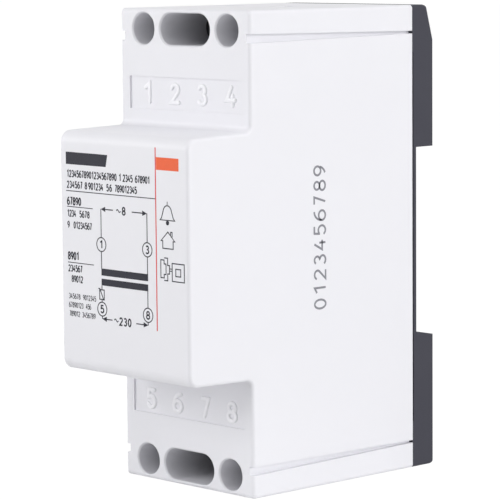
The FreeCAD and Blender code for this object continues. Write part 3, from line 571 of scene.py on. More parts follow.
class Wardrobe:
    """All finishes of the transformer, each made into a material once."""

    FINISHES: tuple[Finish, ...] = (
        # The housing plastic carries painted shade deep in its screwdriver shafts.
        MouldedPlastic("housing_plastic", HOUSING_TONE, painted_shade=0.48),
        # The numerals are the housing plastic painted lighter, a painted highlight on the raised
        # strokes.
        MouldedPlastic("numeral_plastic_painted_light", (0.9, 0.898, 0.93), roughness=0.4),
        MouldedPlastic("base_plastic", (0.027, 0.027, 0.041), roughness=0.66, drift=0.05),
        MouldedPlastic("latch_plastic", (0.034, 0.034, 0.05), roughness=0.56, drift=0.05),
        MouldedPlastic("terminal_plastic", (0.045, 0.045, 0.05), roughness=0.5),
        MouldedPlastic("former_plastic", (0.62, 0.6, 0.53), roughness=0.5, drift=0.03),
        PlatedMetal("zinc_steel", (0.62, 0.63, 0.65)),
        PlatedMetal("tinned_brass", (0.74, 0.72, 0.66), roughness=0.26),
        PlatedMetal("spring_steel", (0.5, 0.5, 0.52), roughness=0.28),
        LayeredMetal("core_steel", (0.34, 0.345, 0.36)),
        LayeredMetal("enamelled_wire", (0.72, 0.27, 0.1), 3.5e-4, Axis.UP, 0.35, 0.3, 0.6, 1.2e-4),
        WrappedTape("winding_tape", (0.78, 0.56, 0.1)),
        SoftSleeve("lead_sleeve", (0.6, 0.06, 0.05)),
        SoftSleeve("thermistor_coating", (0.7, 0.34, 0.06), waves=420.0, depth=6e-5, coat=0.5),
        PadPrint("ink_black", (0.016, 0.016, 0.027)),
        PadPrint("ink_orange", (0.87, 0.14, 0.05)),
        PadPrint("ink_red", (0.72, 0.06, 0.05)),
        PadPrint("ink_grey", (0.26, 0.26, 0.29)),
    )

    def __init__(self) -> None:
        """Build the shared groups and every material."""
        effects = Effects()
        self.materials = {finish.name: finish.build(effects) for finish in self.FINISHES}

    def put_on(self, piece: Piece, finish: str) -> None:
        """Give a piece one finish in all its slots.

        Args:
            piece: a CAD node's object or a new piece.
            finish: the name of the finish.
        """
        if not piece.material_slots:
            piece.data.materials.append(None)
        for slot in piece.material_slots:
            slot.material = self.materials[finish]
        log.info("%s: %d faces in %s", piece.name, len(piece.data.polygons), finish)


# Surfaces


def linked(name: str, data: object) -> Piece:
    """Link a new object to the scene.

    Args:
        name: the object's name.
        data: its mesh, camera or lamp.

    Returns:
        The object, at the origin.
    """
    item = bpy.data.objects.new(name, data)
    bpy.context.scene.collection.objects.link(item)
    return item


def soften(mesh: bpy.types.Mesh, below: float) -> None:
    """Shade a mesh smooth across edges under an angle in degrees."""
    mesh.shade_smooth()
    mesh.set_sharp_from_angle(angle=math.radians(below))


@dataclass
class Surface:
    """Points and faces of one or more closed forms."""

    points: np.ndarray
    faces: list[list[int]]

    def volume(self) -> float:
        """Work out the enclosed volume.

        Returns:
            The volume, which is negative where the faces point inwards.
        """
        total = 0.0
        for size in sorted({len(face) for face in self.faces}):
            same = np.array([face for face in self.faces if len(face) == size])
            first = self.points[same[:, 0]]
            for step in range(1, size - 1):
                second = self.points[same[:, step]]
                third = self.points[same[:, step + 1]]
                total += float(np.einsum("ij,ij->", first, np.cross(second, third))) / 6.0
        return total

    def outward(self) -> "Surface":
        """Turn the faces outwards.

        Returns:
            This surface or the turned one.
        """
        if self.volume() < 0:
            return Surface(self.points, [face[::-1] for face in self.faces])
        return self

    @staticmethod
    def joined(parts: list["Surface"]) -> "Surface":
        """Put several closed forms into one surface.

        Args:
            parts: the closed forms.

        Returns:
            The surface with all of them.
        """
        starts = np.cumsum([0] + [len(part.points) for part in parts[:-1]])
        faces = [
            [int(start) + index for index in face]
            for start, part in zip(starts, parts)
            for face in part.faces
        ]
        return Surface(np.concatenate([part.points for part in parts]), faces)

    def piece(self, name: str, smooth_below: float = 0.0) -> Piece:
        """Make the Blender object.

        Args:
            name: the piece's name.
            smooth_below: the angle in degrees under which an edge is shaded smooth.

        Returns:
            The linked object, at the origin.
        """
        mesh = bpy.data.meshes.new(name)
        mesh.from_pydata(self.points.tolist(), [], self.faces)
        mesh.validate()
        if smooth_below > 0:
            soften(mesh, smooth_below)
        return linked(name, mesh)


def wrapped_grid(rows: int, columns: int, close_rows: bool = False) -> list[list[int]]:
    """Return the quads of a grid whose columns wrap round.

    Args:
        rows: the number of rings.
        columns: the points of a ring.
        close_rows: whether the last ring joins the first.

    Returns:
        Four point numbers for each quad.
    """
    row = np.arange(rows if close_rows else rows - 1)[:, None]
    column = np.arange(columns)[None, :]
    beside = (column + 1) % columns
    above = (row + 1) % rows
    corners = [row * columns + column, row * columns + beside]
    corners += [above * columns + beside, above * columns + column]
    return np.stack(corners, axis=-1).reshape(-1, 4).tolist()


def capped_grid(rows: int, columns: int) -> list[list[int]]:
    """Number the faces of a tube of rings with a cap at each end.

    Args:
        rows: the number of rings.
        columns: the points of a ring.

    Returns:
        The point numbers of each face.
    """
    first = list(range(columns))
    last = [(rows - 1) * columns + index for index in first]
    return wrapped_grid(rows, columns) + [first[::-1], last]


@dataclass(frozen=True)
class Panel:
    """A flat place on the housing: an origin and the directions right and up."""

    origin: tuple[float, float, float]
    right: tuple[float, float, float]
    up: tuple[float, float, float]

    def carry(self, form: Surface) -> Surface:
        """Return a form of the panel in the frame of the solids, in metres.

        A point (u, v, w) goes to origin + u * right + v * up + w * (right x up).

        Args:
            form: the form in millimetres on the panel.
        """
        axes = np.array([self.right, self.up, np.cross(self.right, self.up)])
        return Surface((np.array(self.origin) + form.points @ axes) * MM, form.faces)


@dataclass(frozen=True)
class Stroke:
    """The centre line of one stroke, open or closed."""

    points: np.ndarray
    closed: bool = False

    def fitted(self, scale: Point, shift: Point) -> "Stroke":
        """Return the stroke scaled along u and v and then moved."""
        return Stroke(self.points * np.array(scale) + np.array(shift), self.closed)


def line(*parts: Point | np.ndarray) -> np.ndarray:
    """Return corners and arcs as one row of points."""
    return np.concatenate([np.atleast_2d(np.array(part, float)) for part in parts])


def full_turn(count: int) -> np.ndarray:
    """Return evenly spaced angles round a circle, in radians."""
    return np.linspace(0, 2 * np.pi, count, endpoint=False)


def ellipse(centre: Point, radii: Point, angle: np.ndarray) -> np.ndarray:
    """Return points of an ellipse: centre + radii * (cos a, sin a)."""
    return np.stack([np.cos(angle), np.sin(angle)], axis=1) * radii + np.array(centre)


def bow(centre: Point, radii: Point, start: float, end: float) -> np.ndarray:
    """Return an ellipse's arc between two angles in degrees, a point for each ARC_STEP."""
    count = max(4, int(abs(end - start) / ARC_STEP) + 1)
    return ellipse(centre, radii, np.radians(np.linspace(start, end, count)))


def ring(centre: Point, radii: Point) -> Stroke:
    """Return a closed ellipse."""
    return Stroke(ellipse(centre, radii, full_turn(RING_POINTS)), True)


def bar(left: float, right: float, low: float, high: float) -> np.ndarray:
    """Return the outline of an upright rectangle."""
    return line((left, low), (right, low), (right, high), (left, high))


def numeral_strokes() -> dict[str, tuple[Stroke, ...]]:
    """Draw the ten numerals in a box one unit tall, centred on u = 0.

    Returns:
        The strokes of each numeral.
    """
    swan = bow((0.0, 0.73), (0.24, 0.27), 165, -32)
    upper = bow((-0.01, 0.76), (0.21, 0.24), 150, -75)
    lower = bow((-0.01, 0.26), (0.25, 0.26), 75, -150)
    belly = bow((0.0, 0.32), (0.26, 0.32), 128, -150)
    return {
        "0": (ring((0.0, 0.5), (0.25, 0.5)),),
        "1": (Stroke(line((-0.19, 0.79), (0.09, 1.0), (0.09, 0.0))),),
        "2": (Stroke(line(swan, (-0.25, 0.0), (0.26, 0.0))),),
        "3": (Stroke(line(upper, lower)),),
        "4": (
            Stroke(line((0.06, 1.0), (-0.26, 0.3), (0.28, 0.3))),
            Stroke(line((0.13, 0.55), (0.13, 0.0))),
        ),
        "5": (Stroke(line((0.22, 1.0), (-0.17, 1.0), (-0.2, 0.57), belly)),),
        "6": (ring((0.0, 0.3), (0.27, 0.3)), Stroke(bow((0.2, 0.34), (0.47, 0.66), 88, 180))),
        "7": (Stroke(line((-0.2, 1.0), (0.2, 1.0), (-0.07, 0.0))),),
        "8": (ring((0.0, 0.755), (0.22, 0.245)), ring((0.0, 0.26), (0.26, 0.26))),
        "9": (ring((0.0, 0.7), (0.25, 0.3)), Stroke(bow((-0.22, 0.64), (0.46, 0.64), -77, -15))),
    }


NUMERALS = numeral_strokes()


def crown_section(width: float, height: float, sink: float) -> np.ndarray:
    """Return a raised section: half a full ellipse over two short feet.

    Side = width / 2 * cos a and height = height * (sin a)^0.7 for a from 180
    to 0 degrees, with both ends carried down by sink.

    Args:
        width: the stroke's width.
        height: the height of its crown.
        sink: how far its feet go below the face.

    Returns:
        Rows of side and height.
    """
    angle = np.linspace(np.pi, 0.0, 9)
    rise = height * np.maximum(np.sin(angle), 0.0) ** 0.7
    crown = np.stack([np.cos(angle) * width / 2, rise], axis=1)
    return line((-width / 2, -sink), crown, (width / 2, -sink))


def film_section(width: float) -> np.ndarray:
    """Return the section of a line of ink: a thin rectangle on the face."""
    half = width / 2
    return line((-half, 0.0), (-half, FILM), (half, FILM), (half, 0.0))


def carried(stroke: Stroke, section: np.ndarray, rounded: bool) -> Surface:
    """Carry a section along a stroke as a grid of rings.

    Ring i is the stroke's point i plus side * n / cos(turn / 2), where n is the
    mean normal of the two runs that meet there, and height across the face. A
    rounded end adds rings at half * sin t whose sides shrink by cos t.

    Args:
        stroke: the centre line on the panel.
        section: rows of side and height.
        rounded: whether open ends are rounded.

    Returns:
        A closed surface in millimetres on the panel.
    """
    path = stroke.points
    if stroke.closed:
        runs = np.roll(path, -1, axis=0) - path
        after = runs / np.linalg.norm(runs, axis=1, keepdims=True)
        before = np.roll(after, 1, axis=0)
    else:
        runs = np.diff(path, axis=0)
        along = runs / np.linalg.norm(runs, axis=1, keepdims=True)
        before = np.concatenate([along[:1], along])
        after = np.concatenate([along, along[-1:]])
    normal_after = after[:, ::-1] * [-1.0, 1.0]
    middle = before[:, ::-1] * [-1.0, 1.0] + normal_after
    middle /= np.linalg.norm(middle, axis=1, keepdims=True)
    stretch = 1.0 / np.maximum(np.sum(middle * normal_after, axis=1), MITRE_LIMIT)
    across = middle * stretch[:, None]
    shrink = np.ones(len(path))
    if rounded and not stroke.closed:
        turn = np.radians(END_TURNS)
        reach = np.abs(section[:, 0]).max() * np.sin(turn)[:, None]
        lead, tail = (path[0] - after[0] * reach)[::-1], path[-1] + before[-1] * reach
        path = np.concatenate([lead, path, tail])
        ends = [np.repeat(across[index][None], len(turn), axis=0) for index in (0, -1)]
        across = np.concatenate([ends[0], across, ends[1]])
        shrink = np.concatenate([np.cos(turn)[::-1], shrink, np.cos(turn)])
    shrink = shrink[:, None, None]
    flat = path[:, None, :] + section[None, :, :1] * across[:, None, :] * shrink
    tall = np.broadcast_to(section[None, :, 1:], (*flat.shape[:2], 1))
    if rounded:
        tall = np.where(tall > 0, tall * shrink**0.5, tall)
    points = np.concatenate([flat, tall], axis=2).reshape(-1, 3)
    rows, columns = flat.shape[:2]
    faces = wrapped_grid(rows, columns, True) if stroke.closed else capped_grid(rows, columns)
    return Surface(points, faces).outward()


def slab(outline: np.ndarray, height: float) -> Surface:
    """Return a flat filled form: its outline at height 0 and again at the given height."""
    levels = [np.column_stack([outline, np.full(len(outline), level)]) for level in (0.0, height)]
    return Surface(np.concatenate(levels), capped_grid(2, len(outline))).outward()


@dataclass(frozen=True)
class Lettering:
    """How a row of numerals is drawn."""

    height: float
    stroke: float
    widen: float = 1.0

    def strokes(self, numeral: str, at: Point) -> list[Stroke]:
        """Return the strokes of one numeral.

        Args:
            numeral: a digit.
            at: the middle of its foot, in millimetres on the panel.

        Returns:
            The strokes with their centre lines half a stroke inside the height.
        """
        inner = self.height - self.stroke
        scale = (inner * self.widen, inner)
        shift = (at[0], at[1] + self.stroke / 2)
        return [stroke.fitted(scale, shift) for stroke in NUMERALS[numeral]]


# Sub-assemblies


@dataclass
class SolidCopy:
    """The merged mesh of a CAD node: points in metres, triangles and corner normals."""

    points: np.ndarray
    triangles: np.ndarray
    normals: np.ndarray

    @classmethod
    def of(cls, node: str) -> "SolidCopy":
        """Copy a node's mesh with points within a tenth of a micron made one.

        Args:
            node: the name of the CAD node.

        Returns:
            The copy, without the triangles that fold up.
        """
        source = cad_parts[node].data
        points = np.empty(len(source.vertices) * 3, np.float32)
        source.vertices.foreach_get("co", points)
        points = points.reshape(-1, 3).astype(float)
        corners = np.empty(len(source.loops), np.int32)
        source.loops.foreach_get("vertex_index", corners)
        normals = np.empty(len(source.loops) * 3, np.float32)
        source.corner_normals.foreach_get("vector", normals)
        keys = np.round(points / MERGE).astype(np.int64)
        _, first, group = np.unique(keys, axis=0, return_index=True, return_inverse=True)
        triangles = group.reshape(-1)[corners].reshape(-1, 3)
        kept = (triangles != np.roll(triangles, 1, axis=1)).all(axis=1)
        return cls(points[first], triangles[kept], normals.reshape(-1, 3, 3)[kept])

    def piece(self, name: str) -> Piece:
        """Make the copy an object of its own.

        Args:
            name: the piece's name.

        Returns:
            The linked object.
        """
        mesh = bpy.data.meshes.new(name)
        mesh.from_pydata(self.points.tolist(), [], self.triangles.tolist())
        mesh.shade_smooth()
        mesh.normals_split_custom_set(self.normals.reshape(-1, 3))
        return linked(name, mesh)


@dataclass
class Spring:
    """The compression spring, which the latch presses together from its top."""

    travel: float = 3.0

    def build(self, wardrobe: Wardrobe) -> None:
        """Copy the coil, hang it on the housing and dress it.

        Args:
            wardrobe: the materials.
        """
        piece = SolidCopy.of("latch_spring").piece("latch_coil")
        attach(piece, "housing")
        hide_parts("latch_spring")
        wardrobe.put_on(piece, "spring_steel")
        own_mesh(piece)


@dataclass
class Screws:
    """The four clamping screws, each with a turned thread and a crossed slot."""

    head_radius: float = 2.1
    head_height: float = 1.5
    rim: float = 0.375
    shank_radius: float = 1.45
    chamfer: float = 0.3625
    pitch: float = 0.5
    thread: float = 0.26
    run_out: float = 0.5
    slot_half: float = 0.4
    short_half: float = 1.3
    slot_depth: float = 0.8
    tool_front: float = 0.3
    tool_side: float = 0.2
    smooth_below: float = 38.0
    columns: int = 40
    rows_per_turn: int = 8

    def turned(self, length: float) -> Surface:
        """Turn the closed screw before its slots, head at 0 and tip at length.

        The head's rim is a quarter circle, with radius H - m + m sin b at y =
        m (1 - cos b). Along the shank the radius is R - t * saw, with saw =
        |2 frac(y / pitch - a / 2 pi) - 1| and t fading out over run_out at both
        ends.

        Args:
            length: from the front of the head to the tip.

        Returns:
            The surface, in millimetres.
        """
        angle = full_turn(self.columns)
        bend = np.linspace(0, np.pi / 2, 5)
        inner = self.head_radius - self.rim
        head = np.concatenate([[inner * 0.5], inner + self.rim * np.sin(bend), [self.head_radius]])
        head_y = np.concatenate([[0.0], self.rim * (1 - np.cos(bend)), [self.head_height]])
        low, high = self.head_height, length - self.chamfer
        amount = int(round((high - low) / self.pitch * self.rows_per_turn)) + 1
        along = np.linspace(low, high, amount)
        saw = np.abs(2 * ((along[:, None] / self.pitch - angle / (2 * np.pi)) % 1.0) - 1)
        fade = np.clip(np.minimum(along - low, high - along) / self.run_out, 0.0, 1.0)
        shank = self.shank_radius - self.thread * saw * fade[:, None]
        tip = np.full((1, self.columns), self.shank_radius - self.chamfer)
        radius = np.concatenate([np.repeat(head[:, None], self.columns, axis=1), shank, tip])
        rise = np.broadcast_to(np.concatenate([head_y, along, [length]])[:, None], radius.shape)
        points = np.stack([radius * np.cos(angle), rise, radius * np.sin(angle)], axis=2)
        return Surface(points.reshape(-1, 3), capped_grid(*radius.shape)).outward()

    def cross(self) -> Surface:
        """Make the tool that cuts the long and the short slot, standing out in front.

        Returns:
            The surface, in millimetres from the middle of the head's front.
        """
        reach, half = self.head_radius + self.tool_side, self.slot_half
        quarter = line((reach, half), (half, half), (half, self.short_half))
        sides = [quarter, quarter[::-1] * [-1, 1], -quarter, quarter[::-1] * [1, -1]]
        tool = slab(np.concatenate(sides), self.slot_depth + self.tool_front)
        points = tool.points[:, [0, 2, 1]] - [0.0, self.tool_front, 0.0]
        return Surface(points, tool.faces).outward()

    def cut(self, name: str, length: float, front: np.ndarray) -> bpy.types.Mesh:
        """Cut the slots into a screw.

        Args:
            name: the name of the blank.
            length: from the front of the head to the tip.
            front: the middle of the head's front, in metres.

        Returns:
            The mesh, in metres.
        """
        forms = (self.turned(length), self.cross())
        blank, tool = (Surface(form.points * MM + front, form.faces).piece(name) for form in forms)
        cut = blank.modifiers.new("slots", "BOOLEAN")
        cut.operation, cut.solver, cut.object = "DIFFERENCE", "EXACT", tool
        graph = bpy.context.evaluated_depsgraph_get()
        mesh = bpy.data.meshes.new_from_object(blank.evaluated_get(graph))
        for spare in (blank, tool):
            bpy.data.objects.remove(spare)
        soften(mesh, self.smooth_below)
        return mesh

    def build(self, wardrobe: Wardrobe) -> None:
        """Cut, place and dress the four screws.

        Args:
            wardrobe: the materials.
        """
        for number in FITTED:
            node = f"terminal_screw_{number}"
            low, high = (np.array(corner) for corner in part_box(node))
            front = np.array([(low[0] + high[0]) / 2, low[1], (low[2] + high[2]) / 2])
            mesh = self.cut(f"{node}_blank", (high[1] - low[1]) / MM, front)
            piece = linked(f"threaded_screw_{number}", mesh)
            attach(piece, f"screw_{number}")
            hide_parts(node)
            wardrobe.put_on(piece, "zinc_steel")


@dataclass
class Windings:
    """The two windings, whose outer layer shows its turns."""

    pitches: tuple[tuple[str, float], ...] = (
        ("secondary_winding", 0.9),
        ("primary_winding", 0.46),
    )
    outer_radius: float = 3.0
    inner_radius: float = 0.9
    corner_steps: int = 10
    rows_per_turn: int = 8
    hollow: float = 0.28
    outer_strip: float = 1.2

    def wound(self, node: str, pitch: float) -> Surface:
        """Wind one closed winding inside its solid's form.

        The corner rounds of a loop are C + (r - d) * (cos a, sin a), with the
        corner centres C of the solid. The outer layer has d = hollow * pitch *
        (1 - |sin(pi (z / pitch - s))|), where s is the share of the way round.

        Args:
            node: the winding's CAD node.
            pitch: from turn to turn.

        Returns:
            The surface, in metres.
        """
        low, high = (np.array(corner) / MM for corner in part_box(node))
        centre, half = (low + high) / 2, (high - low) / 2
        flat = np.abs(SolidCopy.of(node).points / MM - centre)[:, :2]
        bore = flat[(flat < half[:2] - self.outer_strip).all(axis=1)].max(axis=0)
        steps = self.corner_steps
        angle = (np.linspace(0, np.pi / 2, steps) + np.arange(4)[:, None] * np.pi / 2).ravel()
        way = np.stack([np.cos(angle), np.sin(angle)], axis=1)
        signs = np.repeat(np.array([[1, 1], [-1, 1], [-1, -1], [1, -1]]), steps, axis=0)
        share = np.arange(4 * steps) / (4 * steps)
        amount = int(round((high[2] - low[2]) / pitch * self.rows_per_turn)) + 1
        rise = np.linspace(low[2], high[2], amount)
        inset = self.hollow * pitch * (1 - np.abs(np.sin(np.pi * (rise[:, None] / pitch - share))))
        outer = signs * (half[:2] - self.outer_radius) + centre[:2]
        layer = outer + (self.outer_radius - inset)[:, :, None] * way
        inner = signs * (bore - self.inner_radius) + self.inner_radius * way + centre[:2]
        rings = np.concatenate([layer, inner[None], inner[None]])
        height = np.concatenate([rise, [high[2], low[2]]])[:, None, None]
        tall = np.broadcast_to(height, (*rings.shape[:2], 1))
        points = np.concatenate([rings, tall], axis=2).reshape(-1, 3) * MM
        return Surface(points, wrapped_grid(len(rings), 4 * steps, True)).outward()

    def build(self, wardrobe: Wardrobe) -> None:
        """Wind, place and dress both.

        Args:
            wardrobe: the materials.
        """
        for node, pitch in self.pitches:
            piece = self.wound(node, pitch).piece(f"{node}_turns", 60.0)
            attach(piece, "housing")
            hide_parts(node)
            wardrobe.put_on(piece, "enamelled_wire")


@dataclass
class Housing:
    """The light front moulding, with its raised numerals."""

    field_floor: float = -43.7
    # The shaft fields bound the painted shade inside the screwdriver shafts.
    shaft_mouth: float = -44.0
    shaft_end: float = -32.1
    shaft_reach: float = 15.4
    shaft_band: tuple[float, float] = (37.8, 44.4)
    lettering: Lettering = Lettering(height=4.2, stroke=0.86, widen=1.2)
    crown: float = 0.26
    sink: float = 0.1
    rows: tuple[tuple[float, tuple[tuple[str, float], ...]], ...] = (
        (27.05, (("1", -10.5), ("2", -2.96), ("3", 4.55), ("4", 12.2))),
        (-31.45, (("5", -10.7), ("6", -3.18), ("7", 4.6), ("8", 11.83))),
    )

    def moulding(self) -> Piece:
        """Make the copy of the moulding that stands for the CAD node.

        The nose front and the right side are held back by the film of the
        print, so that the ink lies in the box.

        Returns:
            The piece.
        """
        copy = SolidCopy.of("front_housing")
        points = copy.points
        points[:, 1] = np.maximum(points[:, 1], (NOSE_FRONT + FILM) * MM)
        points[:, 0] = np.minimum(points[:, 0], (RIGHT_SIDE - FILM) * MM)
        piece = copy.piece("housing_moulding")
        # The point attribute carries the mask of the painted shade in the shafts.
        depth = piece.data.attributes.new(PAINTED_SHADE_DEPTH, "FLOAT", "POINT")
        depth.data.foreach_set("value", self.painted_shade_depth(points / MM).astype(np.float32))
        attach(piece, "housing")
        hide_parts("front_housing")
        return piece

    def painted_shade_depth(self, points: np.ndarray) -> np.ndarray:
        """Work out how deep in a screwdriver shaft each point is, from 0 to 1.

        Depth = (y - mouth) / (end - mouth), held within 0 and 1, where |x| and
        |z| lie in the shafts' stretch, and 0 elsewhere. It masks the painted shade
        inside the shafts.

        Args:
            points: rows of x, y and z in millimetres.

        Returns:
            One depth for each point.
        """
        across, back, up = np.abs(points[:, 0]), points[:, 1], np.abs(points[:, 2])
        depth = np.clip((back - self.shaft_mouth) / (self.shaft_end - self.shaft_mouth), 0.0, 1.0)
        inside = (across < self.shaft_reach) & (up > self.shaft_band[0]) & (up < self.shaft_band[1])
        return np.where(inside, depth, 0.0)

    def numeral(self, digit: str, foot: Point) -> Piece:
        """Make one raised numeral on the floor of its number field.

        Args:
            digit: what it says.
            foot: the middle of its foot, across and up.

        Returns:
            The piece.
        """
        panel = Panel((0.0, self.field_floor, 0.0), (1.0, 0.0, 0.0), (0.0, 0.0, 1.0))
        section = crown_section(self.lettering.stroke, self.crown, self.sink)
        forms = [carried(part, section, True) for part in self.lettering.strokes(digit, foot)]
        piece = panel.carry(Surface.joined(forms)).piece(f"raised_numeral_{digit}", 50.0)
        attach(piece, "housing")
        return piece

    def build(self, wardrobe: Wardrobe) -> None:
        """Make and dress the moulding and its numerals.

        Args:
            wardrobe: the materials.
        """
        wardrobe.put_on(self.moulding(), "housing_plastic")
        for height, numerals in self.rows:
            for digit, across in numerals:
                # The numerals get the lighter copy of the housing plastic, a painted highlight.
                wardrobe.put_on(self.numeral(digit, (across, height)), "numeral_plastic_painted_light")


@dataclass
class Printing:
    """Ink on one flat face, gathered by colour."""

    panel: Panel
    label: str
    thin: float = 0.2

    def __post_init__(self) -> None:
        """Start with no ink."""
        self.forms: dict[str, list[Surface]] = {}

    def fill(self, *outline: Point | np.ndarray, ink: str = "ink_black") -> None:
        """Print a filled form with these corners."""
        self.forms.setdefault(ink, []).append(slab(line(*outline), FILM))

    def draw(self, *strokes: Stroke, ink: str = "ink_black", width: float | None = None) -> None:
        """Print strokes.

        Args:
            *strokes: the centre lines.
            ink: the name of the finish.
            width: the width of the lines, or the thin one.
        """
        section = film_section(width or self.thin)
        for stroke in strokes:
            self.forms.setdefault(ink, []).append(carried(stroke, section, False))

    def trace(
        self, *parts: Point | np.ndarray, closed: bool = False, width: float | None = None
    ) -> None:
        """Print one black line through these corners and arcs."""
        self.draw(Stroke(line(*parts), closed), width=width)

    def write(
        self, text: str, at: Point, style: Lettering, pitch: float, ink: str = "ink_black"
    ) -> None:
        """Print a row of numerals.

        Args:
            text: the numerals.
            at: the middle of the first numeral's foot.
            style: how they are drawn.
            pitch: the distance from one to the next.
            ink: the name of the finish.
        """
        for index, numeral in enumerate(text):
            foot = (at[0] + index * pitch, at[1])
            self.draw(*style.strokes(numeral, foot), ink=ink, width=style.stroke)

    def finish(self, wardrobe: Wardrobe) -> None:
        """Make one piece for each ink.

        Args:
            wardrobe: the materials.
        """
        for ink, forms in self.forms.items():
            piece = self.panel.carry(Surface.joined(forms)).piece(f"{self.label}_{ink}")
            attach(piece, "housing")
            wardrobe.put_on(piece, ink)


@dataclass(frozen=True)
class CountRow:
    """A small row of numerals: its middle, height, stroke and the groups' ends."""

    middle: float
    height: float
    stroke: float
    groups: tuple[Point, ...]


@dataclass
class FrontPrint:
    """What is printed on the nose: blocks, rules, the circuit and plain symbols."""

    middle: tuple[float, float, float] = (0.15, NOSE_FRONT + FILM, 0.22)
    left: float = -6.48
    right: float = 6.35
    mark_radius: float = 1.3
    mark: Lettering = Lettering(height=1.62, stroke=0.28, widen=1.15)
    value: Lettering = Lettering(height=1.62, stroke=0.3, widen=1.1)
    value_pitch: float = 1.2
    arrow_length: float = 1.25
    arrow_half: float = 0.48
    wave_height: float = 0.24
    wave_length: float = 1.15
    fine: float = 0.16
    count_pitch: float = 0.52
    count_rows: tuple[CountRow, ...] = (
        CountRow(14.35, 1.4, 0.23, ((-16.2, -1.9), (-1.2, -0.75), (-0.2, 2.6), (3.2, 7.3))),
        CountRow(
            12.3,
            1.4,
            0.23,
            ((-16.2, -11.6), (-10.9, -10.4), (-10.0, -5.7), (-4.9, -3.2), (-2.5, 3.7)),
        ),
        CountRow(9.2, 1.6, 0.29, ((-16.2, -12.1),)),
        CountRow(6.9, 1.35, 0.22, ((-16.2, -13.6), (-12.7, -9.7))),
        CountRow(4.75, 1.35, 0.22, ((-16.2, -15.5), (-14.4, -9.1))),
        CountRow(-1.1, 1.6, 0.29, ((-16.2, -12.9),)),
        CountRow(-3.45, 1.35, 0.22, ((-16.1, -12.0),)),
        CountRow(-5.4, 1.35, 0.22, ((-15.2, -11.9),)),
        CountRow(-8.7, 1.05, 0.14, ((-16.1, -12.7), (-12.0, -8.2))),
        CountRow(-10.35, 1.05, 0.14, ((-16.1, -11.9), (-11.2, -9.7))),
        CountRow(-12.0, 1.05, 0.14, ((-16.0, -12.9), (-12.3, -8.4))),
    )

    @staticmethod
    def blocks(ink: Printing) -> None:
        """Print the dark banner, the orange block, the long red line and the rules.

        Args:
            ink: the print of the nose.
        """
        ink.fill((-16.35, 16.1), (-4.95, 16.1), (-4.45, 18.35), (-16.35, 18.4))
        ink.fill(bar(9.02, 15.07, 16.38, 18.67), ink="ink_orange")
        ink.fill(bar(8.7, 8.95, -13.0, 20.4), ink="ink_red")
        ink.fill(bar(-16.4, 8.7, 11.02, 11.18))
        ink.fill(bar(-16.2, -8.8, 8.07, 8.22))
        ink.fill(bar(-16.2, -8.7, -2.43, -2.28))

    def counts(self, ink: Printing) -> None:
        """Print the small rows of numerals, which count on from group to group.

        A group of length w holds round(w / pitch) numerals, at least one, where
        the pitch is the row's height times count_pitch.

        Args:
            ink: the print of the nose.
        """
        count = 0
        for row in self.count_rows:
            style = Lettering(row.height, row.stroke, widen=0.8)
            for start, end in row.groups:
                amount = max(1, round((end - start) / (row.height * self.count_pitch)))
                pitch = (end - start) / amount
                digits = "".join(str((count + step) % 10) for step in range(1, amount + 1))
                ink.write(digits, (start + pitch / 2, row.middle - row.height / 2), style, pitch)
                count += amount

    def circuit(self, ink: Printing) -> None:
        """Print the two windings, their leads, the four marks and the arrows.

        Args:
            ink: the print of the nose.
        """
        left, right = self.left, self.right
        ink.fill(bar(-6.55, 6.47, -4.1, -2.8))
        ink.fill(bar(-6.55, 6.47, -5.95, -4.7))
        marks = {"1": (left, 1.65), "3": (right, 1.65), "5": (left, -10.4), "8": (right, -10.35)}
        for numeral, (across, height) in marks.items():
            ink.draw(ring((across, height), (self.mark_radius, self.mark_radius)))
            foot = (across, height - self.mark.height / 2)
            ink.draw(*self.mark.strokes(numeral, foot), width=self.mark.stroke)
        for across, gaps in (
            (left, ((8.3, 2.95), (0.35, -2.8), (-5.95, -6.8), (-8.6, -9.1), (-11.7, -12.2))),
            (right, ((8.3, 2.95), (0.35, -2.8), (-5.95, -9.05), (-11.65, -12.2))),
        ):
            for high, low in gaps:
                ink.trace((across, high), (across, low))
        ink.trace((-7.15, -8.6), (-5.85, -8.6), (-5.85, -6.8), (-7.15, -6.8), closed=True)
        ink.trace((-7.5, -6.6), (-7.1, -6.6), (-5.95, -8.75))
        for height, inner_left, inner_right in ((8.25, -3.06, 2.2), (-12.2, -3.62, 3.05)):
            self.arrow(ink, (inner_left, height), left)
            self.arrow(ink, (inner_right, height), right)
        ink.write("8", (-0.05, 7.45), self.value, self.value_pitch)
        ink.write("230", (-1.2, -13.05), self.value, self.value_pitch)
        for start, height in ((-2.1, 8.2), (-3.1, -12.15)):
            ink.trace(self.wave(start, height))

    def wave(self, start: float, height: float) -> np.ndarray:
        """Draw the sign of alternating current.

        Its points are u = start + length * s and v = height + rise * sin(2 pi s),
        for s from 0 to 1.

        Args:
            start: where it starts, across.
            height: where it lies, up.

        Returns:
            The points of its line.
        """
        share = np.linspace(0.0, 1.0, 13)
        sway = self.wave_height * np.sin(2 * np.pi * share)
        return np.stack([start + self.wave_length * share, height + sway], axis=1)

    def arrow(self, ink: Printing, tail: Point, tip: float) -> None:
        """Print one level arrow.

        Args:
            ink: the print of the nose.
            tail: where its line starts.
            tip: how far across it points.
        """
        foot = tip - math.copysign(self.arrow_length, tip - tail[0])
        level, half = tail[1], self.arrow_half
        ink.trace(tail, (foot, level))
        ink.fill((tip, level), (foot, level + half), (foot, level - half))

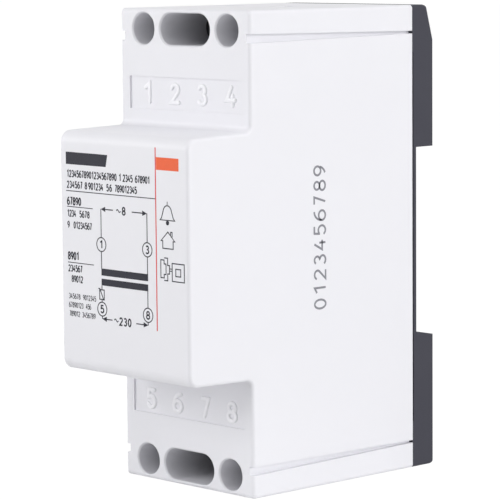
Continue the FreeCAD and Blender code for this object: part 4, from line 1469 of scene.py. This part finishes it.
    def symbols(self, ink: Printing) -> None:
        """Print the bell, the house, the double square and the safety transformer.

        Args:
            ink: the print of the nose.
        """
        dome = bow((11.92, 8.75), (1.15, 1.3), 165, 15)
        ink.trace((9.95, 7.4), (10.35, 7.8), dome, (13.5, 7.8), (13.9, 7.4), closed=True)
        ink.trace((11.92, 10.05), (11.92, 10.8), width=self.fine)
        ink.fill(ring((11.95, 6.93), (0.42, 0.42)).points)
        house = line((12.0, 5.3), (10.15, 3.65), (10.6, 3.65), (10.6, 2.28))
        ink.trace(house, (13.4, 2.28), (13.4, 3.65), (13.85, 3.65), closed=True)
        ink.trace((12.75, 4.75), (12.75, 5.3), (13.15, 5.3), (13.15, 4.4))
        for half in (1.62, 0.66):
            ink.trace(bar(14.68 - half, 14.68 + half, -1.93 - half, -1.93 + half), closed=True)
        coil = line((10.0, 0.15), (10.9, 0.15), (10.9, -0.55), (11.4, -0.55))
        ink.trace(coil, (11.4, -2.45), (10.9, -2.45), (10.9, -3.1), (10.0, -3.1), closed=True)
        yoke = line((10.9, 0.55), (11.85, 0.55), (11.85, -0.75), (12.35, -0.75), (12.35, -2.3))
        ink.trace(yoke, (11.85, -2.3), (11.85, -3.55), (10.9, -3.55))
        for height in (-1.35, -1.75):
            ink.trace((12.35, height), (13.1, height), width=self.fine)

    def build(self, wardrobe: Wardrobe) -> None:
        """Print everything on the nose.

        Args:
            wardrobe: the materials.
        """
        ink = Printing(Panel(self.middle, (1, 0, 0), (0, 0, 1)), "nose_print")
        for part in (self.blocks, self.counts, self.circuit, self.symbols):
            part(ink)
        ink.finish(wardrobe)


@dataclass
class SidePrint:
    """The grey row of numerals up the right side."""

    foot: float = -24.71
    first: float = -10.3
    pitch: float = 2.785
    style: Lettering = Lettering(height=3.3, stroke=0.4, widen=1.15)

    def build(self, wardrobe: Wardrobe) -> None:
        """Print the row.

        Args:
            wardrobe: the materials.
        """
        origin = (RIGHT_SIDE - FILM, self.foot, self.first)
        ink = Printing(Panel(origin, (0, 0, 1), (0, -1, 0)), "side_print")
        ink.write("0123456789", (0.0, 0.0), self.style, self.pitch, ink="ink_grey")
        ink.finish(wardrobe)


@dataclass(frozen=True)
class PlainNodes:
    """CAD nodes that keep their own mesh and get a finish."""

    label: str
    nodes: dict[str, tuple[str, ...]]

    def build(self, wardrobe: Wardrobe) -> None:
        """Dress every node.

        Args:
            wardrobe: the materials.
        """
        log.info("%s", self.label)
        for finish, names in self.nodes.items():
            for name in names:
                wardrobe.put_on(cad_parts[name], finish)


PLAIN_GROUPS = (
    PlainNodes("rear", {"base_plastic": ("rear_base",), "latch_plastic": ("rail_latch",)}),
    PlainNodes(
        "terminals",
        {
            "terminal_plastic": ("upper_terminal_block", "lower_terminal_block"),
            "zinc_steel": tuple(f"clamp_cage_{number}" for number in FITTED),
            "tinned_brass": tuple(f"busbar_{number}" for number in FITTED),
        },
    ),
    PlainNodes(
        "core and coil",
        {
            "core_steel": ("core_e_stack", "core_i_stack"),
            "zinc_steel": ("core_strap",),
            "former_plastic": ("coil_former",),
            "winding_tape": ("secondary_tape", "primary_tape"),
        },
    ),
    PlainNodes(
        "leads",
        {
            "lead_sleeve": (
                "secondary_lead_1",
                "secondary_lead_3",
                "primary_lead_8",
                "primary_lead_5",
                "thermistor_lead",
            ),
            "thermistor_coating": ("thermistor",),
        },
    ),
)


# Studio


def direction(azimuth: float, elevation: float) -> Vector:
    """Work out the way to a place from two angles in degrees.

    Args:
        azimuth: the angle round, 0 in front.
        elevation: the angle up.

    Returns:
        The way, one long.
    """
    turn, rise = math.radians(azimuth), math.radians(elevation)
    level = math.cos(rise)
    return Vector((math.sin(turn) * level, -math.cos(turn) * level, math.sin(rise)))


@dataclass(frozen=True)
class Lamp:
    """A round soft lamp: its name, angles in degrees, distance and size in metres, and watts."""

    name: str
    azimuth: float
    elevation: float
    distance: float
    size: float
    power: float


@dataclass
class Studio:
    """Camera, floor, world and lamps."""

    azimuth: float = 46.486
    elevation: float = 6.518
    roll: float = -0.487
    distance: float = 520.0
    lens: float = 194.972
    middle: tuple[float, float, float] = (0.0, -25.0, 0.0)
    shift_right: float = -1.8886
    shift_up: float = -1.5595
    floor_height: float = -45.0
    floor_sides: int = 96
    floor_glow: float = 1.08
    floor_share: float = 0.93
    ambient: float = 0.22
    lamps: tuple[Lamp, ...] = (
        Lamp("lamp_right_rear", 102.0, 14.0, 1.5, 1.2, 15.0),
        Lamp("lamp_left", -42.0, 14.0, 1.5, 1.0, 11.0),
        Lamp("lamp_above_front", 0.0, 40.0, 1.5, 1.0, 4.6),
        Lamp("lamp_above", 100.0, 68.0, 1.5, 1.2, 5.5),
    )

    def camera(self) -> None:
        """Set the camera at the photograph's place."""
        back, roll = direction(self.azimuth, self.elevation), math.radians(self.roll)
        right = (-back).cross(Vector((0, 0, 1))).normalized()
        up = right.cross(-back)
        target = Vector(self.middle) + right * self.shift_right + up * self.shift_up
        place = (target + back * self.distance) * MM
        rolled_right = math.cos(roll) * right + math.sin(roll) * up
        rolled_up = -math.sin(roll) * right + math.cos(roll) * up
        data = bpy.data.cameras.new("camera")
        data.lens, data.sensor_width, data.clip_start = self.lens, 36.0, 0.01
        camera = linked("camera", data)
        axes = Matrix((rolled_right, rolled_up, back)).transposed()
        camera.matrix_world = Matrix.Translation(place) @ axes.to_4x4()
        bpy.context.scene.camera = camera

    def floor(self) -> None:
        """Lay the round floor, whose edge rises in a long curve.

        A point is (r cos a, r sin a, h) with h = 0 to 4 m and then
        h = 0.12 * (r - 4)^2, and the middle is one face.
        """
        radius = np.concatenate([[0.15, 0.4, 1.0, 2.0, 4.0], np.linspace(4.4, 8.0, 10)])
        height = self.floor_height * MM + 0.12 * np.maximum(radius - 4.0, 0.0) ** 2
        angle = full_turn(self.floor_sides)
        flat = radius[:, None, None] * np.stack([np.cos(angle), np.sin(angle)], axis=1)
        tall = np.broadcast_to(height[:, None, None], (len(radius), len(angle), 1))
        points = np.concatenate([flat, tall], axis=2).reshape(-1, 3)
        faces = [face[::-1] for face in wrapped_grid(len(radius), len(angle))]
        floor = Surface(points, faces + [list(range(len(angle)))]).piece("studio_floor")
        floor.data.shade_smooth()
        floor.data.materials.append(self.paper())

    def paper(self) -> bpy.types.Material:
        """Make the floor's material: white paper that glows where it is seen.

        Returns:
            The material.
        """
        material = bpy.data.materials.new("studio_paper")
        material.use_nodes = True
        wiring = Wiring(material.node_tree)
        noise = wiring.noise(wiring.add("ShaderNodeTexCoord").outputs["Object"], 900.0)
        feeds = {"Base Color": (0.8, 0.8, 0.8, 1.0), "Roughness": wiring.spread(noise, 0.8, 1.0)}
        paper = wiring.add("ShaderNodeBsdfPrincipled", feeds | {"Specular IOR Level": 0.0})
        glow = wiring.add("ShaderNodeEmission", {"Strength": self.floor_glow})
        share = wiring.sum_up("MULTIPLY", self.seen(wiring), self.floor_share)
        mix = wiring.add("ShaderNodeMixShader", {0: share, 1: paper.outputs[0], 2: glow.outputs[0]})
        wiring.add("ShaderNodeOutputMaterial", {"Surface": mix.outputs[0]})
        return material

    @staticmethod
    def seen(wiring: Wiring) -> Socket:
        """Tell rays that show the background, directly, mirrored or through, by a 1.

        Args:
            wiring: the nodes of the material or world.

        Returns:
            The socket.
        """
        path = wiring.add("ShaderNodeLightPath").outputs
        first = wiring.sum_up("ADD", path["Is Camera Ray"], path["Is Glossy Ray"])
        return wiring.sum_up("ADD", first, path["Is Transmission Ray"], clamp=True)

    def world(self) -> None:
        """Fill the world with plain ambient light that shows as white."""
        world = bpy.data.worlds.new("studio_world")
        world.use_nodes = True
        wiring = Wiring(world.node_tree)
        strength = wiring.spread(self.seen(wiring), self.ambient, 1.0)
        feeds = {"Color": (1.0, 1.0, 1.0, 1.0), "Strength": strength}
        light = wiring.add("ShaderNodeBackground", feeds)
        wiring.add("ShaderNodeOutputWorld", {"Surface": light.outputs[0]})
        bpy.context.scene.world = world

    def light(self) -> None:
        """Hang the soft lamps round the object, each aimed at its middle."""
        for lamp in self.lamps:
            way = direction(lamp.azimuth, lamp.elevation)
            data = bpy.data.lights.new(lamp.name, "AREA")
            data.shape, data.size, data.energy = "DISK", lamp.size, lamp.power
            turned = way.to_track_quat("Z", "Y").to_matrix().to_4x4()
            place = Vector(self.middle) * MM + way * lamp.distance
            linked(lamp.name, data).matrix_world = Matrix.Translation(place) @ turned

    def build(self) -> None:
        """Set everything up."""
        for part in (self.camera, self.floor, self.world, self.light):
            part()
        bpy.context.scene.view_settings.view_transform = "Standard"
        log.info("studio ready")


def main() -> None:
    """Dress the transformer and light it."""
    logging.basicConfig(level=logging.INFO, format="%(name)s: %(message)s")
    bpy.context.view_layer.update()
    wardrobe = Wardrobe()
    Studio().build()
    made = (Housing(), Spring(), Screws(), Windings(), FrontPrint(), SidePrint())
    for assembly in (*made, *PLAIN_GROUPS):
        assembly.build(wardrobe)
    bpy.context.view_layer.update()


if __name__ == "__main__":
    main()
